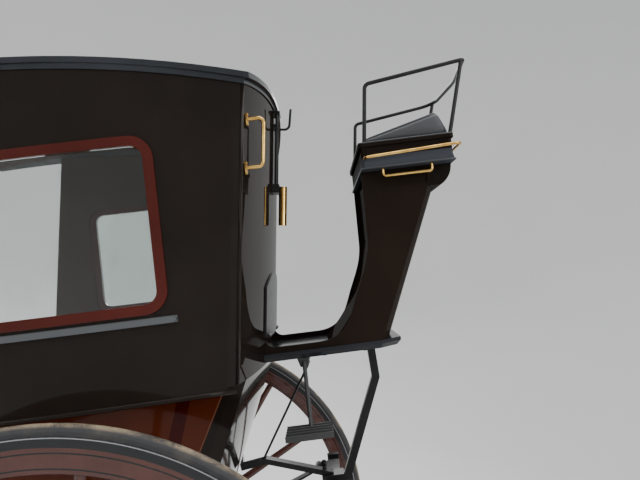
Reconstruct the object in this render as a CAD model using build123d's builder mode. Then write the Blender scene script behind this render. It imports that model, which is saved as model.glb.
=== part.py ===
from build123d import *
import math
import os

# Two-wheeled cab: the driver sits high behind a closed body that hangs between
# two large wheels. It is drawn in its driving attitude, with the footboard
# level: X forward, Y to the left, Z up, the axle above the origin. keep() then
# lowers the nose about the axle until the shaft tips rest on the ground.

os.makedirs("parts", exist_ok=True)

# Wheels and axle
WHEEL_R = 700
WHEEL_TRACK = 1440
TYRE_WIDTH = 35
TYRE_RISE = 23
TYRE_SHOULDER = 10
TYRE_PLAY = 0.2
CHANNEL_BASE = 6
CHANNEL_LIP = 14
CHANNEL_WALL = 3
FELLOE_DEPTH = 52
FELLOE_WIDTH = 42
SPOKE_COUNT = 14
SPOKE_START = -11.3
SPOKE_FOOT = (34, 30)
SPOKE_TIP = (24, 22)
WHEEL_DISH = 18
NAVE_LENGTH = 250
NAVE_R = 80
NAVE_END_R = 52
CAP_R = 38
CAP_LENGTH = 34
ARM_R = 19
ARM_PLAY = 0.3
AXLE_R = 23
COLLAR_R = 34
COLLAR_LENGTH = 14
AXLE_GAP = 0.5

# Closed upper body, cut from a bowed plan leaned back by its rake
SILL_Z = 1390
BACK_X = -411
BODY_HALF_REAR = 500
BODY_HALF_MID = 548
BODY_HALF_FRONT = 520
BODY_MID_X = 20
BODY_FRONT_X = 460
BACK_BOW = 43
BODY_RAKE = 7.4
SIDE_WALL = 18
BACK_WALL = 22
LEDGE_T = 18

# Roof, cambered across and dropping to the rear
ROOF_CROWN_Z = 2299
ROOF_CROWN_X = 250
ROOF_LENGTH_R = 2900
ROOF_CAMBER_R = 2113
ROOF_T = 14
ROOF_OVERHANG = 7
ROOF_SAG = 110
CORNICE_DROP = 15
CORNICE_OUT = 3.5
ROOF_MID_X = -60
ROOF_FRONT_X = 600
ROOF_FRONT_BOW = 70
HATCH_PLAY = 0.3
HATCH_X = -210
HATCH_LENGTH = 230
HATCH_WIDTH = 280
HATCH_LAP = 18
HATCH_T = 12

# Side windows
WINDOW_REAR_X = -279
WINDOW_FRONT_X = 270
WINDOW_SILL_Z = 1580
WINDOW_TOP_Z = 2000
WINDOW_CORNER = 55
WINDOW_RIM = 24
FRAME_PROUD = 6
GLASS_SET = 4
GLASS_T = 5
DRIP_T = 15
DRIP_OUT = 13
DRIP_DROP = 16
DRIP_REACH = 14
SKIRT_DROP = 18

# Lower body
LOWER_HALF = 430
LOWER_WALL = 18
SEAT_DECK_Z = 820
SEAT_DECK_FRONT = 200
FLOOR_Z = 480
FLOOR_T = 18
LOWER_RAKE = 23.8
FRONT_X = 848
FRONT_SLOPE = 19.6
DOOR_BOTTOM_Z = 705
DOOR_TOP_Z = 1285
DOOR_T = 20
DOOR_GAP = 5
DOOR_LAP = 0.5
DASH_T = 18

# Passengers' seat
CUSHION_T = 105
BACK_PAD_T = 60
PAD_CLEAR = 0.3

# Driver's footboard, pedestal and seat
BOARD_Z = 1419
BOARD_T = 23
BOARD_HALF = 212
BOARD_HALF_REAR = 196
BOARD_REAR_X = -789
BOARD_END_X = -848
BOARD_BEVEL = 13
PED_HALF = 195
PED_TOP_Z = 1905
PED_TOP_FRONT = -800
PED_TOP_REAR = -1003
PED_FOOT_FRONT = -634
PED_FOOT_REAR = -790
PED_BOW = 38
MOULD_W = 14
MOULD_T = 11
RIM_HIGH = 16
RIM_FOOT = -604
RIM_TURN = 30
SEAT_HALF = 237
SEAT_FRONT_X = -792
SEAT_REAR_X = -1053
SEAT_T = 76
SEAT_LIP = 6
LIP_T = 12
SKIRT_HIGH = 34
SKIRT_FLARE = 11
SKIRT_BEAD = 5
APRON_DROP = 60
PAD_RISE = 76
RAIL_R = 6
RAIL_HALF = 230
RAIL_FRONT_TOP = (-827, 2152)
RAIL_REAR_TOP = (-1118, 2191)
RAIL_REAR_BOW = 24
BRASS_R = 4.5
BRASS_POST_R = 3.5
BRASS_OUT = 20
BRASS_DROP_FRONT = 45
BRASS_DROP_REAR = 34
UNDER_FRONT_X = -849
UNDER_REAR_X = -990
UNDER_DROP = 21
UNDER_OUT = 26
RECESS_LOW = 50
RECESS_HIGH = 8
RECESS_T = 5
HANDLE_R = 5
HANDLE_OUT = 50
HANDLE_HIGH_Z = 2025
HANDLE_LOW_Z = 1905
HANDLE_INSET = 30
HANDLE_BEND = 14
HANDLE_FOOT = (10, 17)
HANDLE_FOOT_T = 5

# Bracket, whip socket and toe plate, measured up the back panel from the sill
BRACKET_Y = 46
BRACKET_HIGH = 764
BRACKET_MID = 721
BRACKET_LOW = 524
BRACKET_DEPTH = 19
HOOK_SIDE = 22
HOOK_OUT = 46
HOOK_HIGH = 66
HOOK_R = 4
ROD_R = 5
ROD_SPREAD = 18
ROD_OUT = 9
CLAMP_T = 27
CLAMP_GRIP = 2.5
SEAT_SINK = 6
WHIP_R = 13
WHIP_BORE_R = 10
WHIP_OUT = 30
WHIP_MOUTH = 532
WHIP_LENGTH = 122
WHIP_FLOOR = 6
TOE_HALF = 205
TOE_LOW = 78
TOE_SIDE = 142
TOE_APEX = 186
TOE_T = 5
KNUCKLE_R = 6
KNUCKLE_Y = 150
KNUCKLE_LENGTH = 50

# Step, stays and springs
TREAD_X = -559
TREAD_LENGTH = 122
TREAD_WIDTH = 112
TREAD_Y = 342
TREAD_Z = 1222
TREAD_T = 10
TREAD_RIBS = 5
RIB_T = 5
RIB_HIGH = 5
HANGER_R = 6
STAY_W = 30
STAY_T = 24
STAY_TOP_X = -766
STAY_BEND_Z = 1288
IRON_W = 36
IRON_T = 16
IRON_BEND = (-398, 1071)
IRON_END = (-318, 1060)
SPRING_Y = 490
SPRING_HALF = 540
SPRING_EYE_Z = 885
SPRING_W = 44
LEAF_T = 8
LEAF_COUNT = 4
EYE_R = 13
CROSS_BACK = 60
LINK_TAIL = 17
CROSS_TOP_Z = 985
CROSS_EYE_Z = 918
CLAMP_HALF = 34
CLAMP_HIGH = 24

# Shafts, the clips round them and the lugs that tie them to the body
SHAFT_R = 20
SHAFT_Y = 490
SHAFT_Z = 945
SHAFT_REAR_X = -250
SHAFT_BEND_X = 1180
SHAFT_SWELL = (1650, 385, 1050)
SHAFT_TUG = (2150, 325, 1075)
SHAFT_TIP = (2850, 330, 985)
SHAFT_BEND_R = (420, 500, 700)
CLIP_T = 8
CLIP_LENGTH = 40
CLIP_PLAY = 0.1
LUG_REAR_X = -150
LUG_FRONT_X = 420
LUG_LENGTH = 56
LUG_HIGH = 26
LOOP_X = 660
LOOP_T = 12
STEP_X = 985
STEP_Z = 500
STEP_T = 12
STEP_POST_BACK = 65

axle_line = Axis((0, 0, WHEEL_R), (0, 1, 0))
both_sides = (("left", 1), ("right", -1))


def along(dx, dz):
    """A direction in the upright plane through the shafts."""
    return Vector(dx, 0, dz).normalized()


rake = math.radians(BODY_RAKE)
rake_dir = along(-math.sin(rake), math.cos(rake))
lower = math.radians(LOWER_RAKE)
lower_dir = along(math.sin(lower), -math.cos(lower))
slope = math.radians(FRONT_SLOPE)
slope_out = along(math.cos(slope), math.sin(slope))

# Park angle: the shaft tips come down level with the bottom of the wheels
tip_run = SHAFT_TIP[0]
tip_rise = SHAFT_TIP[2] - WHEEL_R
tip_reach = math.hypot(tip_run, tip_rise)
park = math.atan2(tip_rise, tip_run) + math.asin((WHEEL_R - SHAFT_R) / tip_reach)
PARK_ANGLE = math.degrees(park)
# The frame's origin is midway between the wheels' backs and the tips
tip_ahead = tip_reach * math.cos(math.atan2(tip_rise, tip_run) - park) + SHAFT_R
ORIGIN_X = (tip_ahead - WHEEL_R) / 2


def keep(piece, name):
    """Parks the piece with the cab, labels it and writes it."""
    parked = piece.part.rotate(axle_line, PARK_ANGLE)
    piece.part = Part(parked.translate((-ORIGIN_X, 0, 0)).wrapped)
    piece.part.label = name
    export_step(piece.part, f"parts/{name}.step")


def mirrored(part, side):
    """The left part for side 1, its mirror image for side -1."""
    return part if side > 0 else part.mirror(Plane.XZ)


def body_plan(grow, height, nose=0):
    """The upper body's outline at the sill, grown by a margin, leaned up.

    A nose carries the sides straight on past the body's open front.
    """
    rear = BACK_X - grow
    front = BODY_FRONT_X
    half_rear = BODY_HALF_REAR + grow
    half_mid = BODY_HALF_MID + grow
    half_front = BODY_HALF_FRONT + grow
    front_end = [(front, half_front), (front, -half_front)]
    if nose:
        front_end[1:1] = [(front + nose, half_front), (front + nose, -half_front)]
    with BuildPart() as prism:
        with BuildSketch(Plane.XY.offset(SILL_Z)):
            with BuildLine():
                ThreePointArc((rear, -half_rear), (rear - BACK_BOW, 0), (rear, half_rear))
                ThreePointArc((rear, half_rear), (BODY_MID_X, half_mid), (front, half_front))
                Polyline(*front_end)
                ThreePointArc((front, -half_front), (BODY_MID_X, -half_mid), (rear, -half_rear))
            make_face()
        extrude(amount=height / math.cos(rake), dir=rake_dir)
    return prism.part


def body_void(wall):
    """The space inside walls of a given thickness, open in front and past both ends."""
    sink = 20
    void = body_plan(-wall, wall_height + 2 * sink, nose=4 * sink)
    return void.translate((sink * math.tan(rake), 0, -sink))


def roof_shell(low, high):
    """A cambered shell between two offsets from the roof's outer face."""
    reach = BODY_HALF_MID + 3 * BACK_BOW
    centre_z = ROOF_CROWN_Z - ROOF_CAMBER_R
    hinge = Axis((ROOF_CROWN_X, 0, ROOF_CROWN_Z - ROOF_LENGTH_R), (0, 1, 0))
    turn = 44

    def arc_point(offset, y):
        radius = ROOF_CAMBER_R + offset
        return (y, centre_z + math.sqrt(radius ** 2 - y ** 2))

    with BuildPart() as shell:
        with BuildSketch(Plane.YZ.offset(ROOF_CROWN_X)):
            with BuildLine():
                ThreePointArc(arc_point(low, -reach), arc_point(low, 0), arc_point(low, reach))
                Line(arc_point(low, reach), arc_point(high, reach))
                ThreePointArc(arc_point(high, reach), arc_point(high, 0), arc_point(high, -reach))
                Line(arc_point(high, -reach), arc_point(low, -reach))
            make_face()
        revolve(axis=hinge, revolution_arc=turn)
    return shell.part.rotate(hinge, -turn / 2)


def side_plate(points, thickness, y_outer):
    """A plate in the upright plane, from its outer face inwards, left side."""
    with BuildPart() as plate:
        with BuildSketch(Plane.XZ.offset(-y_outer)):
            with BuildLine():
                Polyline(*points, close=True)
            make_face()
        extrude(amount=thickness)
    return plate.part


def tube(points, radii, radius):
    """A round rod along straight runs joined by arcs."""
    with BuildPart() as rod:
        with BuildLine() as route:
            if radii:
                FilletPolyline(*points, radius=radii)
            else:
                Polyline(*points)
        with BuildSketch(Plane(origin=route.line @ 0, z_dir=route.line % 0)):
            Circle(radius)
        sweep(path=route.wires()[0])
    return rod.part


def shaft_rods(x, sides, radius, length):
    """Plain rods on the straight part of the shafts' centre lines."""
    with BuildPart() as rods:
        for side in sides:
            with Locations((x, side * SHAFT_Y, SHAFT_Z)):
                Cylinder(radius, length, rotation=(0, 90, 0))
    return rods.part


def shaft_clips(x, sides):
    """Solid collars where iron grips the shafts, still to be bored."""
    return shaft_rods(x, sides, SHAFT_R + CLIP_T, CLIP_LENGTH)


def shaft_clearance(x):
    """The bores that let the shafts through those collars."""
    return shaft_rods(x, (1, -1), SHAFT_R + CLIP_PLAY, 2 * CLIP_LENGTH)


# Wheels: a dished wooden wheel with a steel channel, and its rubber tyre
channel_out = WHEEL_R - TYRE_RISE
felloe_outer = channel_out - CHANNEL_BASE - CHANNEL_LIP
felloe_inner = felloe_outer - FELLOE_DEPTH
nave_in = -NAVE_LENGTH / 2 - WHEEL_DISH
nave_out = NAVE_LENGTH / 2 - WHEEL_DISH
bore_r = ARM_R + ARM_PLAY

with BuildPart() as spoke:
    with BuildSketch(Plane.XY.offset(NAVE_END_R + 8)):
        with Locations((0, -WHEEL_DISH)):
            Ellipse(SPOKE_FOOT[0] / 2, SPOKE_FOOT[1] / 2)
    with BuildSketch(Plane.XY.offset(felloe_inner + 8)):
        Ellipse(SPOKE_TIP[0] / 2, SPOKE_TIP[1] / 2)
    loft()

with BuildPart() as left_wheel:
    with BuildSketch(Plane.YZ):
        with BuildLine():
            Polyline(
                (nave_in, bore_r), (nave_in, NAVE_END_R), (nave_in + 34, NAVE_END_R),
                (nave_in + 62, NAVE_R - 6), (-WHEEL_DISH, NAVE_R), (26, NAVE_R - 6),
                (52, NAVE_END_R + 4), (nave_out, NAVE_END_R), (nave_out, CAP_R),
                (nave_out + CAP_LENGTH - 6, CAP_R), (nave_out + CAP_LENGTH, CAP_R - 6),
                (nave_out + CAP_LENGTH, 0), (nave_out, 0), (nave_out, bore_r), close=True,
            )
        make_face()
    revolve(axis=Axis.Y)
    with BuildSketch(Plane.YZ):
        with Locations((0, (felloe_inner + felloe_outer) / 2)):
            RectangleRounded(FELLOE_WIDTH, FELLOE_DEPTH, 7)
    revolve(axis=Axis.Y)
    with BuildSketch(Plane.YZ):
        half = FELLOE_WIDTH / 2
        with BuildLine():
            Polyline(
                (-half, felloe_outer - 10), (half, felloe_outer - 10), (half, channel_out),
                (half - CHANNEL_WALL, channel_out), (half - CHANNEL_WALL, felloe_outer + CHANNEL_BASE),
                (CHANNEL_WALL - half, felloe_outer + CHANNEL_BASE), (CHANNEL_WALL - half, channel_out),
                (-half, channel_out), close=True,
            )
        make_face()
    revolve(axis=Axis.Y)
    for turn in range(SPOKE_COUNT):
        add(spoke.part.rotate(Axis.Y, SPOKE_START + turn * 360 / SPOKE_COUNT))

with BuildPart() as left_tyre:
    half = TYRE_WIDTH / 2
    seat = felloe_outer + CHANNEL_BASE + TYRE_PLAY
    shoulder = channel_out + TYRE_SHOULDER
    with BuildSketch(Plane.YZ):
        with BuildLine():
            Line((-half, seat), (half, seat))
            Line((half, seat), (half, shoulder))
            ThreePointArc((half, shoulder), (0, WHEEL_R), (-half, shoulder))
            Line((-half, shoulder), (-half, seat))
        make_face()
    revolve(axis=Axis.Y)

for name, side in both_sides:
    for kind, source in (("wheel", left_wheel), ("tyre", left_tyre)):
        with BuildPart() as piece:
            add(mirrored(source.part, side).translate((0, side * WHEEL_TRACK / 2, WHEEL_R)))
        keep(piece, f"{kind}_{name}")

# Axle with its collars and the pads that carry the side springs
nave_inner_y = WHEEL_TRACK / 2 + nave_in
arm_end_y = WHEEL_TRACK / 2 + nave_out - AXLE_GAP
spring_low_z = WHEEL_R + AXLE_R + 12
with BuildPart() as axle:
    with Locations((0, 0, WHEEL_R)):
        Cylinder(AXLE_R, 2 * (nave_inner_y - AXLE_GAP), rotation=(90, 0, 0))
        Cylinder(ARM_R, 2 * arm_end_y, rotation=(90, 0, 0))
    for side in (1, -1):
        collar_y = side * (nave_inner_y - AXLE_GAP - COLLAR_LENGTH / 2)
        with Locations((0, collar_y, WHEEL_R)):
            Cylinder(COLLAR_R, COLLAR_LENGTH, rotation=(90, 0, 0))
        with Locations((0, side * SPRING_Y, WHEEL_R)):
            Box(90, SPRING_W, spring_low_z - WHEEL_R, align=(Align.CENTER, Align.CENTER, Align.MIN))
keep(axle, "axle")


def leaf_stack(half_span, rise, count):
    """A curved stack of leaves in X and Z, longest on top, ends up, in plan width."""
    radius = (half_span ** 2 + rise ** 2) / (2 * rise)
    with BuildPart() as stack:
        with BuildSketch(Plane.XZ.offset(-SPRING_W / 2)):
            for leaf in range(count):
                top = -leaf * LEAF_T
                reach = half_span * (1 - 0.22 * leaf)
                outer = radius - top
                inner = outer - LEAF_T
                centre = radius

                def on_arc(r, x):
                    return (x, centre - math.sqrt(r ** 2 - x ** 2))

                with BuildLine():
                    ThreePointArc(on_arc(inner, -reach), on_arc(inner, 0), on_arc(inner, reach))
                    Line(on_arc(inner, reach), on_arc(outer, reach))
                    ThreePointArc(on_arc(outer, reach), on_arc(outer, 0), on_arc(outer, -reach))
                    Line(on_arc(outer, -reach), on_arc(inner, -reach))
                make_face()
        extrude(amount=SPRING_W)
    return stack.part


# Side springs: sprung from the axle up to an eye at each end
stack_depth = LEAF_COUNT * LEAF_T
side_spring_rise = SPRING_EYE_Z - (spring_low_z + stack_depth)
for name, side in both_sides:
    with BuildPart() as spring:
        add(
            leaf_stack(SPRING_HALF, side_spring_rise, LEAF_COUNT)
            .translate((0, side * SPRING_Y, spring_low_z + stack_depth - LEAF_T))
        )
        for end in (1, -1):
            with Locations((end * SPRING_HALF, side * SPRING_Y, SPRING_EYE_Z)):
                Cylinder(EYE_R, SPRING_W, rotation=(90, 0, 0))
        with Locations((SPRING_HALF, side * SPRING_Y, SPRING_EYE_Z)):
            Box(
                EYE_R, SPRING_W / 2, SHAFT_Z - SPRING_EYE_Z,
                align=(Align.CENTER, Align.CENTER, Align.MIN),
            )
        add(shaft_clips(SPRING_HALF, (side,)))
        add(shaft_clearance(SPRING_HALF), mode=Mode.SUBTRACT)
    keep(spring, f"side_spring_{name}")

# Cross spring behind the axle, ends down, with the links to the side springs
cross_x = -SPRING_HALF - CROSS_BACK
cross_rise = CROSS_TOP_Z - CROSS_EYE_Z
link_length = CROSS_BACK + LINK_TAIL
with BuildPart() as cross:
    add(
        leaf_stack(SPRING_Y, cross_rise, LEAF_COUNT - 1)
        .rotate(Axis.Z, 90).mirror(Plane.XY)
        .translate((cross_x, 0, CROSS_TOP_Z - (LEAF_COUNT - 2) * LEAF_T))
    )
    for side in (1, -1):
        with Locations((cross_x, side * SPRING_Y, CROSS_EYE_Z - 8)):
            Box(SPRING_W, 26, 34)
        with Locations((-SPRING_HALF - link_length / 2, side * SPRING_Y, SPRING_EYE_Z)):
            Box(link_length, 24, 26)
    with Locations((-SPRING_HALF, SPRING_Y, SPRING_EYE_Z), (-SPRING_HALF, -SPRING_Y, SPRING_EYE_Z)):
        Cylinder(EYE_R + 0.3, SPRING_W + 10, rotation=(90, 0, 0), mode=Mode.SUBTRACT)
keep(cross, "cross_spring")

# Upper body walls under the roof
wall_height = ROOF_CROWN_Z - SILL_Z + ROOF_SAG / 2
outer_body = body_plan(0, wall_height)
over_roof = roof_shell(-ROOF_T, 4 * ROOF_SAG)
back_plane = Plane(
    origin=(BACK_X + BACK_WALL, 0, SILL_Z), x_dir=(0, 1, 0), z_dir=(math.cos(rake), 0, math.sin(rake))
)

with BuildPart() as walls:
    add(outer_body)
    add(body_void(SIDE_WALL), mode=Mode.SUBTRACT)
    add(over_roof, mode=Mode.SUBTRACT)

with BuildPart() as back_panel:
    add(outer_body)
    add(over_roof, mode=Mode.SUBTRACT)
    split(bisect_by=back_plane, keep=Keep.BOTTOM)
keep(back_panel, "back_panel")

window_length = WINDOW_FRONT_X - WINDOW_REAR_X
window_height = WINDOW_TOP_Z - WINDOW_SILL_Z
window_mid = ((WINDOW_FRONT_X + WINDOW_REAR_X) / 2, (WINDOW_SILL_Z + WINDOW_TOP_Z) / 2)


def window_block(shrink):
    """A rounded block through both side walls, smaller than the opening by a margin."""
    with BuildPart() as block:
        with BuildSketch(Plane.XZ):
            with Locations(window_mid):
                RectangleRounded(
                    window_length - 2 * shrink, window_height - 2 * shrink, WINDOW_CORNER - shrink
                )
        extrude(amount=BODY_HALF_MID + 2 * BACK_BOW, both=True)
    return block.part


window_opening = window_block(0)
ledge_inner = LOWER_HALF - LOWER_WALL

# The walls hang a little below the sill, and a rounded drip ledge runs under the windows
with BuildPart() as skirt:
    add(body_plan(0, SKIRT_DROP).translate((SKIRT_DROP * math.tan(rake), 0, -SKIRT_DROP)))
    add(body_void(SIDE_WALL), mode=Mode.SUBTRACT)
with BuildPart() as drip:
    add(body_plan(DRIP_OUT, wall_height))
    add(body_void(SIDE_WALL), mode=Mode.SUBTRACT)
    with BuildPart(mode=Mode.PRIVATE) as drip_block:
        with BuildSketch(Plane.XZ):
            with Locations((window_mid[0], WINDOW_SILL_Z - DRIP_DROP)):
                RectangleRounded(window_length + 2 * DRIP_REACH, DRIP_T, DRIP_T / 2 - 0.1)
        extrude(amount=BODY_HALF_MID + 2 * BACK_BOW, both=True)
    add(drip_block.part, mode=Mode.INTERSECT)

for name, side in both_sides:
    with BuildPart() as panel:
        add(walls.part)
        add(skirt.part)
        add(drip.part)
        with BuildPart(mode=Mode.PRIVATE) as ledge:
            add(body_plan(-1, LEDGE_T))
            Box(3000, 2 * ledge_inner, 3000, mode=Mode.SUBTRACT)
        add(ledge.part)
        split(bisect_by=back_plane, keep=Keep.TOP)
        add(window_opening, mode=Mode.SUBTRACT)
        split(bisect_by=Plane.XZ, keep=Keep.BOTTOM if side > 0 else Keep.TOP)
    keep(panel, f"side_panel_{name}")

    with BuildPart() as frame:
        add(body_plan(FRAME_PROUD, wall_height))
        add(body_void(SIDE_WALL - GLASS_SET), mode=Mode.SUBTRACT)
        add(window_block(0.2), mode=Mode.INTERSECT)
        add(window_block(WINDOW_RIM), mode=Mode.SUBTRACT)
        split(bisect_by=Plane.XZ, keep=Keep.BOTTOM if side > 0 else Keep.TOP)
    keep(frame, f"window_frame_{name}")

    with BuildPart() as glass:
        add(body_plan(-GLASS_SET, wall_height))
        add(body_void(GLASS_SET + GLASS_T), mode=Mode.SUBTRACT)
        add(window_block(WINDOW_RIM + 0.2), mode=Mode.INTERSECT)
        split(bisect_by=Plane.XZ, keep=Keep.BOTTOM if side > 0 else Keep.TOP)
    keep(glass, f"window_glass_{name}")

# Roof with the driver's hatch
roof_drop = 2 * ROOF_SAG
roof_back = (BACK_X - (ROOF_CROWN_Z - ROOF_SAG - SILL_Z) * math.tan(rake)) - ROOF_OVERHANG
with BuildPart() as roof:
    half_rear = BODY_HALF_REAR + ROOF_OVERHANG
    half_mid = BODY_HALF_MID + ROOF_OVERHANG
    with BuildSketch(Plane.XY.offset(SILL_Z)):
        with BuildLine():
            ThreePointArc((roof_back, -half_rear), (roof_back - BACK_BOW, 0), (roof_back, half_rear))
            ThreePointArc((roof_back, half_rear), (ROOF_MID_X, half_mid), (ROOF_FRONT_X, half_rear))
            ThreePointArc(
                (ROOF_FRONT_X, half_rear), (ROOF_FRONT_X + ROOF_FRONT_BOW, 0), (ROOF_FRONT_X, -half_rear)
            )
            ThreePointArc((ROOF_FRONT_X, -half_rear), (ROOF_MID_X, -half_mid), (roof_back, -half_rear))
        make_face()
    extrude(amount=ROOF_CROWN_Z - SILL_Z + ROOF_T)
    add(roof_shell(-ROOF_T, 0), mode=Mode.INTERSECT)
    with BuildPart(mode=Mode.PRIVATE) as cornice:
        add(body_plan(CORNICE_OUT, wall_height))
        add(roof_shell(-ROOF_T - CORNICE_DROP, -ROOF_T), mode=Mode.INTERSECT)
        add(outer_body, mode=Mode.SUBTRACT)
    add(cornice.part)
    with Locations((HATCH_X, 0, ROOF_CROWN_Z)):
        Box(HATCH_LENGTH, HATCH_WIDTH, roof_drop, mode=Mode.SUBTRACT)
keep(roof, "roof")

with BuildPart() as hatch:
    with Locations((HATCH_X, 0, ROOF_CROWN_Z)):
        Box(HATCH_LENGTH + 2 * HATCH_LAP, HATCH_WIDTH + 2 * HATCH_LAP, roof_drop)
    add(roof_shell(HATCH_PLAY, HATCH_T), mode=Mode.INTERSECT)
keep(hatch, "roof_hatch")

# Lower body: two flat sides, a slanting bowed back, floor, dash and doors
inner_x = BACK_X + BACK_WALL
drop = SILL_Z - SEAT_DECK_Z
deck_rear = inner_x + drop * math.tan(lower)
front_top_x = FRONT_X - (SILL_Z - FLOOR_Z) * math.tan(slope)
side_outline = [
    (inner_x, SILL_Z), (deck_rear, SEAT_DECK_Z), (SEAT_DECK_FRONT, SEAT_DECK_Z),
    (SEAT_DECK_FRONT + 16, FLOOR_Z), (FRONT_X, FLOOR_Z), (front_top_x, SILL_Z),
]
for name, side in both_sides:
    with BuildPart() as lower_side:
        add(mirrored(side_plate(side_outline, LOWER_WALL, LOWER_HALF), side))
    keep(lower_side, f"lower_side_{name}")

with BuildPart() as lower_back:
    with BuildSketch(Plane.XY.offset(SILL_Z)):
        with BuildLine():
            ThreePointArc(
                (BACK_X, -BODY_HALF_REAR), (BACK_X - BACK_BOW, 0), (BACK_X, BODY_HALF_REAR)
            )
            Polyline(
                (BACK_X, BODY_HALF_REAR), (inner_x, BODY_HALF_REAR),
                (inner_x, -BODY_HALF_REAR), (BACK_X, -BODY_HALF_REAR),
            )
        make_face()
        Rectangle(2000, 2 * LOWER_HALF, mode=Mode.INTERSECT)
    extrude(amount=drop / math.cos(lower), dir=lower_dir)
lower_back_level = lower_back.part
keep(lower_back, "lower_back")

floor_outline = [
    (deck_rear, SEAT_DECK_Z), (SEAT_DECK_FRONT, SEAT_DECK_Z), (SEAT_DECK_FRONT + 16, FLOOR_Z),
    (FRONT_X, FLOOR_Z), (FRONT_X - FLOOR_T * math.tan(slope), FLOOR_Z + FLOOR_T),
    (SEAT_DECK_FRONT + 16 + FLOOR_T, FLOOR_Z + FLOOR_T),
    (SEAT_DECK_FRONT + FLOOR_T, SEAT_DECK_Z + FLOOR_T),
    (deck_rear - FLOOR_T * math.tan(lower), SEAT_DECK_Z + FLOOR_T),
]
with BuildPart() as floor:
    with BuildSketch(Plane.XZ.offset(-ledge_inner)):
        with BuildLine():
            Polyline(*floor_outline, close=True)
        make_face()
    extrude(amount=2 * ledge_inner)
keep(floor, "floor")

front_plane = Plane(origin=(FRONT_X, 0, FLOOR_Z), x_dir=(0, 1, 0), z_dir=slope_out)
dash_height = (DOOR_BOTTOM_Z - FLOOR_Z) / math.cos(slope)
with BuildPart() as dash:
    with BuildSketch(front_plane):
        with Locations((0, dash_height / 2)):
            Rectangle(2 * LOWER_HALF, dash_height)
    extrude(amount=DASH_T)
keep(dash, "dash")

door_width = LOWER_HALF - DOOR_GAP / 2
door_height = (DOOR_TOP_Z - DOOR_BOTTOM_Z) / math.cos(slope) - DOOR_GAP
door_plane = front_plane.offset(DOOR_LAP)
for name, side in both_sides:
    with BuildPart() as door:
        with BuildSketch(door_plane):
            with Locations((side * (DOOR_GAP / 2 + door_width / 2), dash_height + DOOR_GAP + door_height / 2)):
                RectangleRounded(door_width, door_height, 12)
        extrude(amount=DOOR_T)
        with BuildSketch(door_plane.offset(DOOR_T)):
            with Locations((side * (DOOR_GAP / 2 + door_width / 2), dash_height + DOOR_GAP + door_height / 2)):
                RectangleRounded(door_width - 90, door_height - 90, 10)
        extrude(amount=-6, mode=Mode.SUBTRACT)
    keep(door, f"door_{name}")

# Passengers' cushions
with BuildPart() as seat_cushion:
    deck_top = SEAT_DECK_Z + FLOOR_T
    with BuildSketch(Plane.XZ.offset(-(ledge_inner - 6))):
        with BuildLine():
            Polyline(
                (deck_rear + 20, deck_top + PAD_CLEAR), (SEAT_DECK_FRONT + FLOOR_T, deck_top + PAD_CLEAR),
                (SEAT_DECK_FRONT + FLOOR_T + 6, deck_top + CUSHION_T), (deck_rear + 20, deck_top + CUSHION_T),
                close=True,
            )
        make_face()
    extrude(amount=2 * (ledge_inner - 6))
keep(seat_cushion, "seat_cushion")

with BuildPart() as back_cushion:
    pad_low = deck_top + CUSHION_T + 6
    pad_high = SILL_Z - 20

    def on_lower_back(z, off):
        return (inner_x + (SILL_Z - z) * math.tan(lower) + off, z)

    with BuildSketch(Plane.XZ.offset(-(ledge_inner - 12))):
        with BuildLine():
            Polyline(
                on_lower_back(pad_low, PAD_CLEAR), on_lower_back(pad_low, BACK_PAD_T),
                on_lower_back(pad_high, BACK_PAD_T), on_lower_back(pad_high, PAD_CLEAR), close=True,
            )
        make_face()
    extrude(amount=2 * (ledge_inner - 12))
keep(back_cushion, "back_cushion")

# Driver's footboard with its bevelled underside
with BuildPart() as footboard:
    with BuildSketch(Plane.XY.offset(BOARD_Z - BOARD_T)):
        with BuildLine():
            Polyline(
                (BACK_X, -BOARD_HALF), (BOARD_REAR_X, -BOARD_HALF_REAR), (BOARD_END_X, -BOARD_HALF_REAR + 50),
                (BOARD_END_X, BOARD_HALF_REAR - 50), (BOARD_REAR_X, BOARD_HALF_REAR), (BACK_X, BOARD_HALF),
                close=True,
            )
        make_face()
    extrude(amount=BOARD_T)
    chamfer(
        footboard.faces().sort_by(Axis.Z)[0].edges().filter_by(lambda edge: edge.center().X < BACK_X - 5),
        length=BOARD_BEVEL,
    )
    add(outer_body, mode=Mode.SUBTRACT)
keep(footboard, "footboard")

# Pedestal: concave front, raked and bowed rear. Its edge mouldings sweep down into
# rims along the footboard, as far as the back panel.
ped_rake = math.atan2(PED_FOOT_REAR - PED_TOP_REAR, PED_TOP_Z - BOARD_Z)
ped_dir = along(-math.sin(ped_rake), math.cos(ped_rake))
ped_margin = 60
straight_z = 1720
straight_x = PED_TOP_FRONT + 5
hollow_mid = (-742, 1555)
rim_z = BOARD_Z + RIM_HIGH
rim_end_z = rim_z + RIM_TURN
rim_turn_x = BACK_X - BACK_BOW - RIM_TURN

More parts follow.
